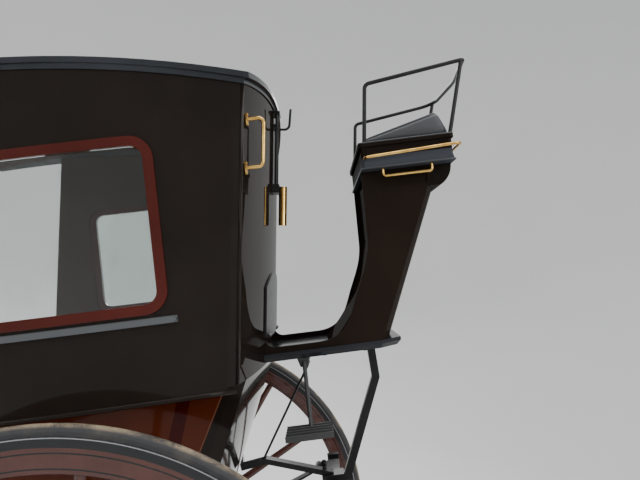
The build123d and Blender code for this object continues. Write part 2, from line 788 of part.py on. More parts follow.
with BuildPart() as pedestal:
    with BuildSketch(Plane.XZ.offset(MOULD_W - PED_HALF)):
        with BuildLine():
            Line((PED_FOOT_REAR - ped_margin, BOARD_Z), (PED_FOOT_FRONT, BOARD_Z))
            ThreePointArc((PED_FOOT_FRONT, BOARD_Z), hollow_mid, (straight_x, straight_z))
            Polyline(
                (straight_x, straight_z), (PED_TOP_FRONT, PED_TOP_Z),
                (PED_TOP_REAR - ped_margin, PED_TOP_Z), (PED_FOOT_REAR - ped_margin, BOARD_Z),
            )
        make_face()
    extrude(amount=2 * (PED_HALF - MOULD_W))
    for outer_face in (PED_HALF, MOULD_W - PED_HALF):
        with BuildSketch(Plane.XZ.offset(-outer_face)):
            with BuildLine():
                Polyline(
                    (PED_FOOT_REAR - ped_margin, BOARD_Z), (BACK_X, BOARD_Z), (BACK_X, rim_end_z),
                    (rim_turn_x + RIM_TURN, rim_end_z),
                )
                ThreePointArc(
                    (rim_turn_x + RIM_TURN, rim_end_z),
                    (rim_turn_x + 0.7 * RIM_TURN, rim_z + 0.3 * RIM_TURN), (rim_turn_x, rim_z),
                )
                Line((rim_turn_x, rim_z), (RIM_FOOT, rim_z))
                Spline(
                    (RIM_FOOT, rim_z), (hollow_mid[0] + MOULD_T, hollow_mid[1]),
                    (straight_x + MOULD_T, straight_z), tangents=((-1, 0), (-0.03, 1)),
                )
                Polyline(
                    (straight_x + MOULD_T, straight_z), (PED_TOP_FRONT + MOULD_T, PED_TOP_Z),
                    (PED_TOP_REAR - ped_margin, PED_TOP_Z), (PED_FOOT_REAR - ped_margin, BOARD_Z),
                )
            make_face()
        extrude(amount=MOULD_W)
    with BuildPart(mode=Mode.PRIVATE) as bowed_rear:
        with BuildSketch(Plane.XY.offset(BOARD_Z)):
            with BuildLine():
                ThreePointArc(
                    (PED_FOOT_REAR, -PED_HALF), (PED_FOOT_REAR - PED_BOW, 0), (PED_FOOT_REAR, PED_HALF)
                )
                Polyline(
                    (PED_FOOT_REAR, PED_HALF), (PED_FOOT_REAR + 600, PED_HALF),
                    (PED_FOOT_REAR + 600, -PED_HALF), (PED_FOOT_REAR, -PED_HALF),
                )
            make_face()
        extrude(amount=(PED_TOP_Z - BOARD_Z) / math.cos(ped_rake), dir=ped_dir)
    add(bowed_rear.part, mode=Mode.INTERSECT)
    add(outer_body, mode=Mode.SUBTRACT)
    # Shallow recesses behind the small handles
    for side in (1, -1):
        with BuildSketch(Plane.XZ.offset(-side * PED_HALF)):
            with Locations((
                (UNDER_FRONT_X + UNDER_REAR_X + 12) / 2, PED_TOP_Z - (RECESS_LOW + RECESS_HIGH) / 2
            )):
                RectangleRounded(UNDER_FRONT_X - UNDER_REAR_X - 12, RECESS_LOW - RECESS_HIGH, 3)
        extrude(amount=side * RECESS_T, mode=Mode.SUBTRACT)
pedestal_level = pedestal.part
keep(pedestal, "pedestal")

# Seat box: a flared skirt, a lip round its top and a curved apron under its rear
seat_top = PED_TOP_Z + SEAT_T
seat_mid_x = (SEAT_FRONT_X + SEAT_REAR_X) / 2
seat_length = SEAT_FRONT_X - SEAT_REAR_X
apron_half = PED_HALF - 8
apron_inner = PED_TOP_REAR
apron_foot = PED_TOP_REAR - PED_BOW + (APRON_DROP - 8) * math.tan(ped_rake)
with BuildPart() as seat_box:
    with BuildSketch(Plane.XY.offset(PED_TOP_Z)):
        with Locations((seat_mid_x, 0)):
            RectangleRounded(seat_length, 2 * SEAT_HALF, 8)
    extrude(amount=SEAT_T - LIP_T)
    with BuildSketch(Plane.XY.offset(PED_TOP_Z + SKIRT_BEAD)):
        with Locations((seat_mid_x, 0)):
            RectangleRounded(seat_length + SEAT_LIP, 2 * SEAT_HALF + SEAT_LIP, 11)
    extrude(amount=SKIRT_HIGH - SKIRT_BEAD, taper=SKIRT_FLARE)
    with BuildSketch(Plane.XY.offset(PED_TOP_Z)):
        with Locations((seat_mid_x, 0)):
            RectangleRounded(seat_length + 2 * SEAT_LIP, 2 * (SEAT_HALF + SEAT_LIP), 14)
    extrude(amount=SKIRT_BEAD)
    with BuildSketch(Plane.XY.offset(seat_top - LIP_T)):
        with Locations((seat_mid_x, 0)):
            RectangleRounded(seat_length + 2 * SEAT_LIP, 2 * (SEAT_HALF + SEAT_LIP), 10)
    extrude(amount=LIP_T)
    with BuildPart(mode=Mode.PRIVATE) as apron:
        with BuildSketch(Plane.XZ.offset(-apron_half)):
            with BuildLine():
                Polyline(
                    (SEAT_REAR_X, PED_TOP_Z), (apron_inner, PED_TOP_Z), (apron_inner + 30, PED_TOP_Z - APRON_DROP),
                    (apron_foot, PED_TOP_Z - APRON_DROP),
                )
                ThreePointArc(
                    (apron_foot, PED_TOP_Z - APRON_DROP), (SEAT_REAR_X + 10, PED_TOP_Z - 0.6 * APRON_DROP),
                    (SEAT_REAR_X, PED_TOP_Z),
                )
            make_face()
        extrude(amount=2 * apron_half)
        add(pedestal_level, mode=Mode.SUBTRACT)
    add(apron.part)
keep(seat_box, "seat_box")

with BuildPart() as driver_cushion:
    pad_half = RAIL_HALF - RAIL_R - 3
    with BuildSketch(Plane.XZ.offset(-pad_half)):
        with BuildLine():
            Polyline(
                (SEAT_FRONT_X - 12, seat_top + PAD_CLEAR), (SEAT_FRONT_X - 14, seat_top + 10),
                (SEAT_REAR_X + 36, seat_top + PAD_RISE), (SEAT_REAR_X + 10, seat_top + PAD_RISE - 14),
                (SEAT_REAR_X - 2, seat_top + PAD_CLEAR), close=True,
            )
        make_face()
    extrude(amount=2 * pad_half)
keep(driver_cushion, "driver_cushion")

# Iron rail round the seat
front_top = RAIL_FRONT_TOP
rear_top = RAIL_REAR_TOP
front_foot = (SEAT_FRONT_X - 12, seat_top)
rear_foot = (SEAT_REAR_X + 3, seat_top)
with BuildPart() as seat_rail:
    rail_points = [
        (front_foot[0], RAIL_HALF, front_foot[1] - RAIL_R), (front_top[0], RAIL_HALF, front_top[1]),
        (rear_top[0], RAIL_HALF, rear_top[1]), (rear_top[0] - RAIL_REAR_BOW, 0, rear_top[1] + 4),
        (rear_top[0], -RAIL_HALF, rear_top[1]), (front_top[0], -RAIL_HALF, front_top[1]),
        (front_foot[0], -RAIL_HALF, front_foot[1] - RAIL_R),
    ]
    add(tube(rail_points, [18, 14, 300, 60, 18], RAIL_R))
    for side in (1, -1):
        add(tube(
            [(rear_foot[0], side * RAIL_HALF, rear_foot[1] - RAIL_R),
             (rear_top[0] + 6, side * (RAIL_HALF - (2 if side > 0 else 14)), rear_top[1] - 2)],
            [], RAIL_R,
        ))
    with Locations((rear_foot[0], 0, seat_top)):
        Box(
            2 * (SEAT_FRONT_X - SEAT_REAR_X), 3 * RAIL_HALF, 4 * RAIL_R,
            align=(Align.CENTER, Align.CENTER, Align.MAX), mode=Mode.SUBTRACT,
        )
keep(seat_rail, "seat_rail")

# Brass rail round the seat box, and the small handles under it
with BuildPart() as brass_rail:
    front_rail_z = seat_top - BRASS_DROP_FRONT
    rear_rail_z = seat_top - BRASS_DROP_REAR
    rail_front = SEAT_FRONT_X - 8
    rail_rear = SEAT_REAR_X - BRASS_OUT
    half_out = SEAT_HALF + BRASS_OUT
    add(tube(
        [(rail_front, SEAT_HALF, front_rail_z), (rail_front, half_out, front_rail_z),
         (rail_rear, half_out, rear_rail_z), (rail_rear, -half_out, rear_rail_z),
         (rail_front, -half_out, front_rail_z), (rail_front, -SEAT_HALF, front_rail_z)],
        [12, 16, 16, 12], BRASS_R,
    ))
    with Locations((SEAT_REAR_X - BRASS_OUT / 2, 0, rear_rail_z)):
        Cylinder(BRASS_POST_R, BRASS_OUT, rotation=(0, 90, 0))
keep(brass_rail, "brass_rail")

handle_y_out = PED_HALF + UNDER_OUT
handle_z = PED_TOP_Z - UNDER_DROP
for name, side in both_sides:
    with BuildPart() as under_handle:
        y_out = side * handle_y_out
        add(tube(
            [(UNDER_FRONT_X, y_out, PED_TOP_Z), (UNDER_FRONT_X, y_out, handle_z),
             (UNDER_REAR_X, y_out, handle_z), (UNDER_REAR_X, y_out, PED_TOP_Z)],
            [8, 8], BRASS_R,
        ))
    keep(under_handle, f"under_handle_{name}")

# Grab handle on the back panel, on the left where the driver climbs up
handle_y = BODY_HALF_REAR - HANDLE_INSET


def on_back(z, out):
    """A point behind the back panel's corner, at the handle's distance across."""
    return (BACK_X - (z - SILL_Z) * math.tan(rake) - out, handle_y, z)


with BuildPart() as grab:
    bow_here = BACK_BOW * (1 - (handle_y / BODY_HALF_REAR) ** 2)
    add(tube(
        [on_back(HANDLE_HIGH_Z, bow_here + 1), on_back(HANDLE_HIGH_Z, HANDLE_OUT),
         on_back(HANDLE_LOW_Z, HANDLE_OUT), on_back(HANDLE_LOW_Z, bow_here + 1)],
        [HANDLE_BEND, HANDLE_BEND], HANDLE_R,
    ))
    for z in (HANDLE_HIGH_Z, HANDLE_LOW_Z):
        with BuildSketch(Plane(origin=on_back(z, bow_here + 1), x_dir=(0, 1, 0), z_dir=(-1, 0, 0))):
            Ellipse(*HANDLE_FOOT)
        extrude(amount=HANDLE_FOOT_T)
    add(outer_body, mode=Mode.SUBTRACT)
keep(grab, "grab_handle")

# The back panel's outer face: right is local x, up the rake is local y, outwards local z
back_face = Plane(
    origin=(BACK_X - BACK_BOW, 0, SILL_Z), x_dir=(0, -1, 0), z_dir=(-math.cos(rake), 0, -math.sin(rake))
)
seat_centred = (Align.CENTER, Align.CENTER, Align.MIN)

# Bracket with its two rods, seated on the back panel, and the whip socket in its clamp
rod_length = BRACKET_HIGH - BRACKET_LOW
clamp_depth = WHIP_OUT - WHIP_R + CLAMP_GRIP
with BuildPart(back_face) as bracket_blank:
    # height up the panel, width, thickness along the panel, depth off it
    bracket_bars = (
        (BRACKET_HIGH, 60, 8, BRACKET_DEPTH),
        (BRACKET_MID, 52, 10, ROD_OUT + 3),
        (BRACKET_LOW, 56, CLAMP_T, clamp_depth),
    )
    hook_x = HOOK_SIDE - BRACKET_Y
    add(tube(
        [(hook_x, BRACKET_MID, ROD_OUT - 4), (hook_x, BRACKET_MID, HOOK_OUT),
         (hook_x, BRACKET_MID + HOOK_HIGH, HOOK_OUT + 4)],
        [16], HOOK_R,
    ))
    for height, width, thickness, depth in bracket_bars:
        with Locations((-BRACKET_Y, height, -SEAT_SINK)):
            Box(width, thickness, depth + SEAT_SINK, align=seat_centred)
    for rod in (1, -1):
        with Locations((rod * ROD_SPREAD - BRACKET_Y, BRACKET_LOW + rod_length / 2, ROD_OUT)):
            Cylinder(ROD_R, rod_length, rotation=(90, 0, 0))
    with Locations((-BRACKET_Y, BRACKET_LOW, WHIP_OUT)):
        Cylinder(WHIP_R, 2 * CLAMP_T, rotation=(90, 0, 0), mode=Mode.SUBTRACT)
with BuildPart() as rein_bracket:
    add(bracket_blank.part)
    add(outer_body, mode=Mode.SUBTRACT)
keep(rein_bracket, "rein_bracket")

whip_depth = WHIP_LENGTH - WHIP_FLOOR
whip_foot = WHIP_MOUTH - WHIP_LENGTH
with BuildPart(back_face) as whip_socket:
    with Locations((-BRACKET_Y, whip_foot + WHIP_LENGTH / 2, WHIP_OUT)):
        Cylinder(WHIP_R, WHIP_LENGTH, rotation=(90, 0, 0))
    with Locations((-BRACKET_Y, whip_foot + WHIP_FLOOR + whip_depth / 2, WHIP_OUT)):
        Cylinder(WHIP_BORE_R, whip_depth, rotation=(90, 0, 0), mode=Mode.SUBTRACT)
keep(whip_socket, "whip_socket")

# Arched plate at the driver's toes, curved like the panel that it lies on
with BuildPart() as toe_plate:
    add(body_plan(TOE_T, wall_height))
    with BuildPart(mode=Mode.PRIVATE) as arch:
        with BuildSketch(back_face):
            with BuildLine():
                Polyline(
                    (-TOE_HALF, TOE_LOW + TOE_SIDE), (-TOE_HALF, TOE_LOW),
                    (TOE_HALF, TOE_LOW), (TOE_HALF, TOE_LOW + TOE_SIDE),
                )
                ThreePointArc(
                    (TOE_HALF, TOE_LOW + TOE_SIDE), (0, TOE_LOW + TOE_APEX), (-TOE_HALF, TOE_LOW + TOE_SIDE)
                )
            make_face()
        extrude(amount=2 * BACK_BOW, both=True)
    add(arch.part, mode=Mode.INTERSECT)
    for side in (1, -1):
        knuckle_bow = BACK_BOW * (KNUCKLE_Y / BODY_HALF_REAR) ** 2
        knuckle = back_face.from_local_coords(Vector(side * KNUCKLE_Y, TOE_LOW, KNUCKLE_R - knuckle_bow - 1))
        with Locations((knuckle.X, knuckle.Y, knuckle.Z)):
            Cylinder(KNUCKLE_R, KNUCKLE_LENGTH, rotation=(90, 0, 0))
    add(outer_body, mode=Mode.SUBTRACT)
keep(toe_plate, "toe_plate")

# Step tread hung under the footboard
board_low = BOARD_Z - BOARD_T
hanger_y = PED_HALF - 12
rib_pitch = (TREAD_WIDTH - RIB_T) / (TREAD_RIBS - 1)
with BuildPart() as step_tread:
    with Locations((TREAD_X, TREAD_Y, TREAD_Z)):
        Box(TREAD_LENGTH, TREAD_WIDTH, TREAD_T)
    with Locations((TREAD_X, TREAD_Y, TREAD_Z + TREAD_T / 2)):
        with GridLocations(0, rib_pitch, 1, TREAD_RIBS):
            Box(TREAD_LENGTH, RIB_T, RIB_HIGH, align=seat_centred)
    add(tube(
        [(TREAD_X, hanger_y, board_low - 5), (TREAD_X - 4, TREAD_Y - 30, TREAD_Z)], [], HANGER_R,
    ))
    with BuildSketch(Plane(origin=(TREAD_X, hanger_y, board_low), x_dir=(1, 0, 0), z_dir=(0, 0, -1))):
        RectangleRounded(38, 22, 6)
    extrude(amount=26, taper=16)
keep(step_tread, "step_tread")


def band_outline(points, thickness):
    """The closed outline of a band of even thickness along a bent line."""
    left, right = [], []
    for k, (x, z) in enumerate(points):
        before = Vector(*points[max(k - 1, 0)])
        after = Vector(*points[min(k + 1, len(points) - 1)])
        here = Vector(x, z)
        ways = [way.normalized() for way in (here - before, after - here) if way.length > 0]
        across = sum((Vector(-way.Y, way.X) for way in ways), Vector(0, 0)).normalized()
        half = thickness / 2 / across.dot(Vector(-ways[0].Y, ways[0].X))
        left.append((x + across.X * half, z + across.Y * half))
        right.append((x - across.X * half, z - across.Y * half))
    return left + right[::-1]


def flat_bar(points, width, thickness):
    """A flat iron bar bent in the upright plane, centred across the cab."""
    with BuildPart() as bar:
        with BuildSketch(Plane.XZ.offset(-width / 2)):
            with BuildLine():
                Polyline(*band_outline(points, thickness), close=True)
            make_face()
        extrude(amount=width)
    return bar.part


# Central rear stay, rear iron and its clamp over the cross spring
with BuildPart() as rear_stay:
    stay_foot_x = cross_x - CLAMP_HALF
    add(flat_bar(
        [(STAY_TOP_X, board_low - 6), (STAY_TOP_X - 4, STAY_BEND_Z), (stay_foot_x - 13, CROSS_TOP_Z + 16)],
        STAY_W, STAY_T,
    ))
    with Locations((STAY_TOP_X, 0, board_low)):
        Box(66, 44, 8, align=(Align.CENTER, Align.CENTER, Align.MAX))
    with Locations((stay_foot_x, 0, CROSS_TOP_Z)):
        Box(26, STAY_W, CLAMP_HIGH, align=(Align.MAX, Align.CENTER, Align.MIN))
    with Locations((stay_foot_x, 0, CROSS_TOP_Z)):
        Box(2 * CLAMP_HALF, 60, 3 * CLAMP_HIGH, align=(Align.MIN, Align.CENTER, Align.CENTER), mode=Mode.SUBTRACT)
keep(rear_stay, "rear_stay")

with BuildPart() as rear_iron:
    add(flat_bar([IRON_END, IRON_BEND, (cross_x, CROSS_TOP_Z + CLAMP_HIGH - 3)], IRON_W, IRON_T))
    with Locations((cross_x, 0, CROSS_TOP_Z)):
        Box(2 * CLAMP_HALF, 60, CLAMP_HIGH, align=seat_centred)
    add(lower_back_level, mode=Mode.SUBTRACT)
keep(rear_iron, "rear_iron")

# Shafts, with the loop that carries the front of the body, and the entry steps
for name, side in both_sides:
    with BuildPart() as shaft:
        points = [
            (SHAFT_REAR_X, SHAFT_Y, SHAFT_Z), (SHAFT_BEND_X, SHAFT_Y, SHAFT_Z),
            SHAFT_SWELL, SHAFT_TUG, SHAFT_TIP,
        ]
        add(mirrored(tube(points, SHAFT_BEND_R, SHAFT_R), side))
        with Locations((SHAFT_TIP[0], side * SHAFT_TIP[1], SHAFT_TIP[2])):
            Sphere(SHAFT_R)
        for lug_x in (LUG_REAR_X, LUG_FRONT_X):
            with Locations((lug_x, side * (LOWER_HALF + SHAFT_Y) / 2, SHAFT_Z)):
                Box(LUG_LENGTH, SHAFT_Y - LOWER_HALF, LUG_HIGH)
    keep(shaft, f"shaft_{name}")

loop_low = FLOOR_Z - LOOP_T / 2
with BuildPart() as body_loop:
    with BuildSketch(Plane.YZ.offset(LOOP_X - CLIP_LENGTH / 2)):
        with BuildLine():
            Polyline(
                *band_outline(
                    [(SHAFT_Y - 8, SHAFT_Z), (SHAFT_Y - 26, loop_low),
                     (26 - SHAFT_Y, loop_low), (8 - SHAFT_Y, SHAFT_Z)], LOOP_T,
                ), close=True,
            )
        make_face()
    extrude(amount=CLIP_LENGTH)
    add(shaft_clips(LOOP_X, (1, -1)))
    add(shaft_clearance(LOOP_X), mode=Mode.SUBTRACT)
keep(body_loop, "body_loop")

step_post_x = STEP_X - STEP_POST_BACK
for name, side in both_sides:
    with BuildPart() as entry_step:
        with Locations((STEP_X, side * SHAFT_Y, STEP_Z)):
            Box(160, 110, STEP_T)
        with Locations((step_post_x, side * SHAFT_Y, STEP_Z)):
            Box(26, 12, SHAFT_Z - STEP_Z, align=seat_centred)
        add(shaft_clips(step_post_x, (side,)))
        add(shaft_clearance(step_post_x), mode=Mode.SUBTRACT)
    keep(entry_step, f"entry_step_{name}")
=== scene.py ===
import math

import bmesh
import bpy
from mathutils import Matrix, Vector


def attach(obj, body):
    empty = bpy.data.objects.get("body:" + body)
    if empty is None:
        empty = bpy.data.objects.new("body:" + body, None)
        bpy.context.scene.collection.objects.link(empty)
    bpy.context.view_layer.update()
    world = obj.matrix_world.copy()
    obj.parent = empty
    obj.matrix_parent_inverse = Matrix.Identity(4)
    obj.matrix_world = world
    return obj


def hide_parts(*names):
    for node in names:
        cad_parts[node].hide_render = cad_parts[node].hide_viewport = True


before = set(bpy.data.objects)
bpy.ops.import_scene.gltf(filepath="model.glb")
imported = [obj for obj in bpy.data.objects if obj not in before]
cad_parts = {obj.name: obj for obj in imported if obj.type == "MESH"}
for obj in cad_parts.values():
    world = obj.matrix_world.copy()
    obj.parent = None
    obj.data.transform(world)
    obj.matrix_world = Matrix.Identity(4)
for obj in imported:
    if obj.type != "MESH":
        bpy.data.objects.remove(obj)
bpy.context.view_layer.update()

# The cab is drawn in its driving attitude, in metres, with the axle over the origin,
# and then parked: its nose drops about the axle until the shaft tips touch the ground.
WHEEL_R = 0.700
HUB = Vector((0.0, 0.0, WHEEL_R))
PARK_TURN = math.radians(19.4441)
PARK_BACK = 1.05116
PARK = (
    Matrix.Translation((-PARK_BACK, 0, WHEEL_R))
    @ Matrix.Rotation(PARK_TURN, 4, "Y")
    @ Matrix.Translation(-HUB)
)
LEVEL = PARK.inverted()

# Sizes shared with the cab's body
SILL_Z = 1.390
BACK_X = -0.411
BACK_BOW = 0.043
BODY_HALF_REAR = 0.500
BODY_HALF_MID = 0.548
BODY_HALF_FRONT = 0.520
BODY_MID_X = 0.020
BODY_FRONT_X = 0.460
RAKE = math.radians(7.4)
LOWER_RAKE = math.radians(23.8)
INNER_X = -0.389
WHEEL_TRACK = 1.440
SEAT_TOP = 1.981
SEAT_FRONT_X = -0.792
SEAT_REAR_X = -1.053
PED_TOP_Z = 1.905
SKIRT_TALL = 0.034
SEAT_BOX_HALF = 0.237
DECK_TOP = 0.838
INNER_HALF = 0.412

# Drip ledge below the side window
LEDGE_X = -0.0045
LEDGE_HALF = 0.289
LEDGE_Z = 1.564
LEDGE_TALL = 0.0165

# Lower sides: the rear pillar widens downwards, and a band of painted shadow and reflection from a
# wheel spoke leans back
PILLAR_TOP = 0.0114
PILLAR_FLARE = 0.094
SPOKE_SHADE_X = 0.1142
SPOKE_SHADE_LEAN = 0.107
SHADE_WIDE = 0.034

# Wheels, by distance from the axle's line and from the middle of the rim
FELLOE_IN = 0.612
FELLOE_MIDDLE = 0.632
FELLOE_LINES = 0.015
CHANNEL_IN = 0.6575
CHANNEL_LIP = 0.6758
NAVE_R = 0.09
NAVE_INSET = 0.018
NAVE_LINES = 0.045
NAVE_BLACK = 0.085
CAP_OUT = 0.1075


class Value:
    """A number or colour that changes over a surface; sums on it add Math nodes."""

    def __init__(self, finish, socket):
        self.finish = finish
        self.socket = socket

    def maths(self, operation, *others):
        return self.finish.node(
            "ShaderNodeMath", {"operation": operation}, dict(enumerate((self, *others)))
        )

    def __add__(self, other):
        return self.maths("ADD", other)

    __radd__ = __add__

    def __sub__(self, other):
        return self.maths("SUBTRACT", other)

    def __rsub__(self, other):
        return self * -1 + other

    def __mul__(self, other):
        return self.maths("MULTIPLY", other)

    __rmul__ = __mul__

    def __gt__(self, other):
        return self.maths("GREATER_THAN", other)

    def __lt__(self, other):
        return self.maths("LESS_THAN", other)

    def __abs__(self):
        return self.maths("ABSOLUTE")

    def ramp(self, low, high):
        """0 below low, 1 above high and even in between."""
        return self.finish.node(
            "ShaderNodeMapRange", {"clamp": True}, {0: self, 1: low, 2: high, 3: 0.0, 4: 1.0}
        )

    def line(self, middle, width):
        """1 within a line of that width about a middle value, else 0."""
        return abs(self - middle) < width / 2


class Finish:
    """One procedural finish, with its nodes made by node() and mixed by colour()."""

    def __init__(self, name, **fixed):
        self.material = bpy.data.materials.new(name)
        self.material.use_nodes = True
        self.tree = self.material.node_tree
        self.shader = self.tree.nodes["Principled BSDF"]
        for socket, value in fixed.items():
            self.shader.inputs[socket.replace("_", " ")].default_value = value

    def node(self, kind, settings=None, inputs=None, output=0):
        made = self.tree.nodes.new(kind)
        for setting, value in (settings or {}).items():
            setattr(made, setting, value)
        for key, value in (inputs or {}).items():
            self.feed(made.inputs[key], value)
        if output is None:
            return [Value(self, socket) for socket in made.outputs]
        return Value(self, made.outputs[output])

    def feed(self, socket, value):
        if isinstance(value, Value):
            self.tree.links.new(value.socket, socket)
        else:
            socket.default_value = value

    def wear(self, **outs):
        """Feeds sockets of the shader, such as Base_Color and Roughness."""
        for socket, value in outs.items():
            self.feed(self.shader.inputs[socket.replace("_", " ")], value)
        return self

    def place(self):
        return self.node("ShaderNodeTexCoord", output="Object")

    def level(self):
        """The place on the cab in its driving attitude, in metres."""
        return self.node(
            "ShaderNodeMapping", None,
            {
                "Vector": self.place(), "Location": LEVEL.to_translation(),
                "Rotation": LEVEL.to_euler(),
            },
        )

    def parts(self, vector):
        return self.node("ShaderNodeSeparateXYZ", None, {0: vector}, None)[:3]

    def from_hub(self, where):
        """The distance from the axle's line."""
        ahead, _, up = self.parts(where)
        off = self.node("ShaderNodeCombineXYZ", None, {0: ahead, 1: 0.0, 2: up - WHEEL_R})
        return self.node("ShaderNodeVectorMath", {"operation": "LENGTH"}, {0: off}, "Value")

    def stretched(self, vector, scale):
        return self.node("ShaderNodeMapping", None, {"Vector": vector, "Scale": scale})

    def noise(self, scale, detail, rough, vector=None):
        vector = vector or self.place()
        inputs = {"Vector": vector, "Scale": scale, "Detail": detail, "Roughness": rough}
        return self.node("ShaderNodeTexNoise", None, inputs)

    def cells(self, scale, vector=None):
        """The distance to the edge of the nearest Voronoi cell."""
        inputs = {"Vector": vector or self.place(), "Scale": scale}
        return self.node("ShaderNodeTexVoronoi", {"feature": "DISTANCE_TO_EDGE"}, inputs)

    def colour(self, share, under, over):
        tones = {0: share, 6: self.tone(under), 7: self.tone(over)}
        return self.node("ShaderNodeMix", {"data_type": "RGBA"}, tones, 2)

    @staticmethod
    def tone(value):
        return value if isinstance(value, Value) else (*value, 1)

    def bump(self, height, depth, strength):
        inputs = {"Height": height, "Distance": depth, "Strength": strength}
        return self.wear(Normal=self.node("ShaderNodeBump", None, inputs))


BLACK_BROWN = (0.0105, 0.0078, 0.0062)
BLACK = (0.006, 0.006, 0.006)
PITCH = (0.013, 0.0135, 0.015)
LEDGE_GREY = (0.085, 0.090, 0.095)
WORN_STEEL = (0.34, 0.34, 0.36)
SEAM_TAN = (0.11, 0.05, 0.03)
MAROON = (0.047, 0.0095, 0.0035)
SLATE = (0.045, 0.049, 0.058)
SHADE_RED = (0.032, 0.0025, 0.0015)
WHEEL_MAROON = (0.058, 0.021, 0.017)
DUST = (0.30, 0.23, 0.15)
LINING = (0.052, 0.028, 0.021)
BRASS = (0.72, 0.46, 0.14)
# The hide's slight blue tint is a painted reflection of the sky, not the hide's own colour.
SKY_TINTED_HIDE = (0.016, 0.0175, 0.022)


def coach_paint(name, tone=BLACK_BROWN, gloss=0.055, lined=None, coat=0.14, shine=0.05):
    """Varnished coach paint: faint brush waves, fine scratches and dust low down."""
    paint = Finish(name, Coat_Roughness=0.03, Coat_IOR=1.5, Specular_IOR_Level=shine)
    where = paint.level()
    _, _, up = paint.parts(where)
    clouds = paint.noise(3.2, 4, 0.6, where)
    fine = paint.noise(46, 2, 0.5, where)
    lighter = tuple(channel * 1.5 for channel in tone)
    base = paint.colour(clouds.ramp(0.35, 0.7), tone, lighter)
    dusty = (1 - up.ramp(0.45, 1.0)) * paint.noise(9, 5, 0.7, where).ramp(0.5, 0.75) * 0.22
    base = paint.colour(dusty, base, DUST)
    rough = gloss + clouds * 0.03 + dusty * 0.9 + fine.ramp(0.55, 0.8) * 0.02
    if lined:
        base, rough = lined(paint, where, base, rough)
    paint.wear(Base_Color=base, Roughness=rough, Coat_Weight=coat - dusty * 0.4)
    paint.bump(paint.noise(7, 2, 0.4, where) + fine * 0.06, 0.0006, 0.5)
    return paint.material


def cloth_inside(test):
    """Shows the woven lining on the faces that test() picks."""

    def lined(paint, where, base, rough):
        inside = test(paint, where)
        inputs = {"Vector": where, "Scale": 260.0, "Distortion": 1.0}
        threads = paint.node("ShaderNodeTexWave", {"bands_direction": "Z"}, inputs)
        lining = paint.colour(threads.ramp(0.2, 0.9), tuple(c * 0.6 for c in LINING), LINING)
        return paint.colour(inside, base, lining), rough + inside * (0.85 - rough)

    return lined


def facing(paint, way):
    """The share of the surface's direction along x, y or z."""
    return paint.parts(paint.node("ShaderNodeNewGeometry", output="Normal"))[way]


def side_inside(paint, where):
    return (facing(paint, 1) * paint.parts(where)[1]) < -0.02


def back_inside(paint, where):
    return facing(paint, 0) > 0.6


def roof_inside(paint, where):
    _, across, _ = paint.parts(where)
    return (facing(paint, 2) < -0.5) * (abs(across) < BODY_HALF_REAR - 0.01)


def side_panel_lines(paint, where, base, rough):
    """Woven lining inside, and a grey drip ledge below the window outside."""
    ahead, _, up = paint.parts(where)
    ledge = up.line(LEDGE_Z, LEDGE_TALL) * (abs(ahead - LEDGE_X) < LEDGE_HALF)
    base = paint.colour(ledge, base, LEDGE_GREY)
    return cloth_inside(side_inside)(paint, where, base, rough + ledge * 0.12)


def seat_box_lines(paint, where, base, rough):
    """A slate-grey skirt under the black-brown upper band."""
    _, _, up = paint.parts(where)
    skirt = (up > PED_TOP_Z - 0.001) * (up < PED_TOP_Z + SKIRT_TALL)
    return paint.colour(skirt, base, SLATE), rough


def lower_side_lines(paint, where, base, rough):
    """Maroon panel with a narrow black rear pillar, a leaning dark red band of painted shadow and
    reflection from a wheel spoke, and a dark band of painted shade along its top under the
    overhanging upper body.
    """
    ahead, _, up = paint.parts(where)
    drop = SILL_Z - up
    from_edge = ahead - drop * math.tan(LOWER_RAKE) - INNER_X
    seam = from_edge - drop * PILLAR_FLARE - PILLAR_TOP
    # Painted shade: the leaning dark red band stands for a wheel spoke's shadow and reflection,
    # and the band along the top for the shade under the upper body's overhang.
    painted_shade = (from_edge + drop * SPOKE_SHADE_LEAN).line(SPOKE_SHADE_X, SHADE_WIDE) + (drop < SHADE_WIDE)
    base = paint.colour(painted_shade.ramp(0, 1), base, SHADE_RED)
    base = paint.colour(seam.line(0.0025, 0.003), base, SEAM_TAN)
    base = paint.colour(seam < 0.0, base, BLACK_BROWN)
    return cloth_inside(side_inside)(paint, where, base, rough)


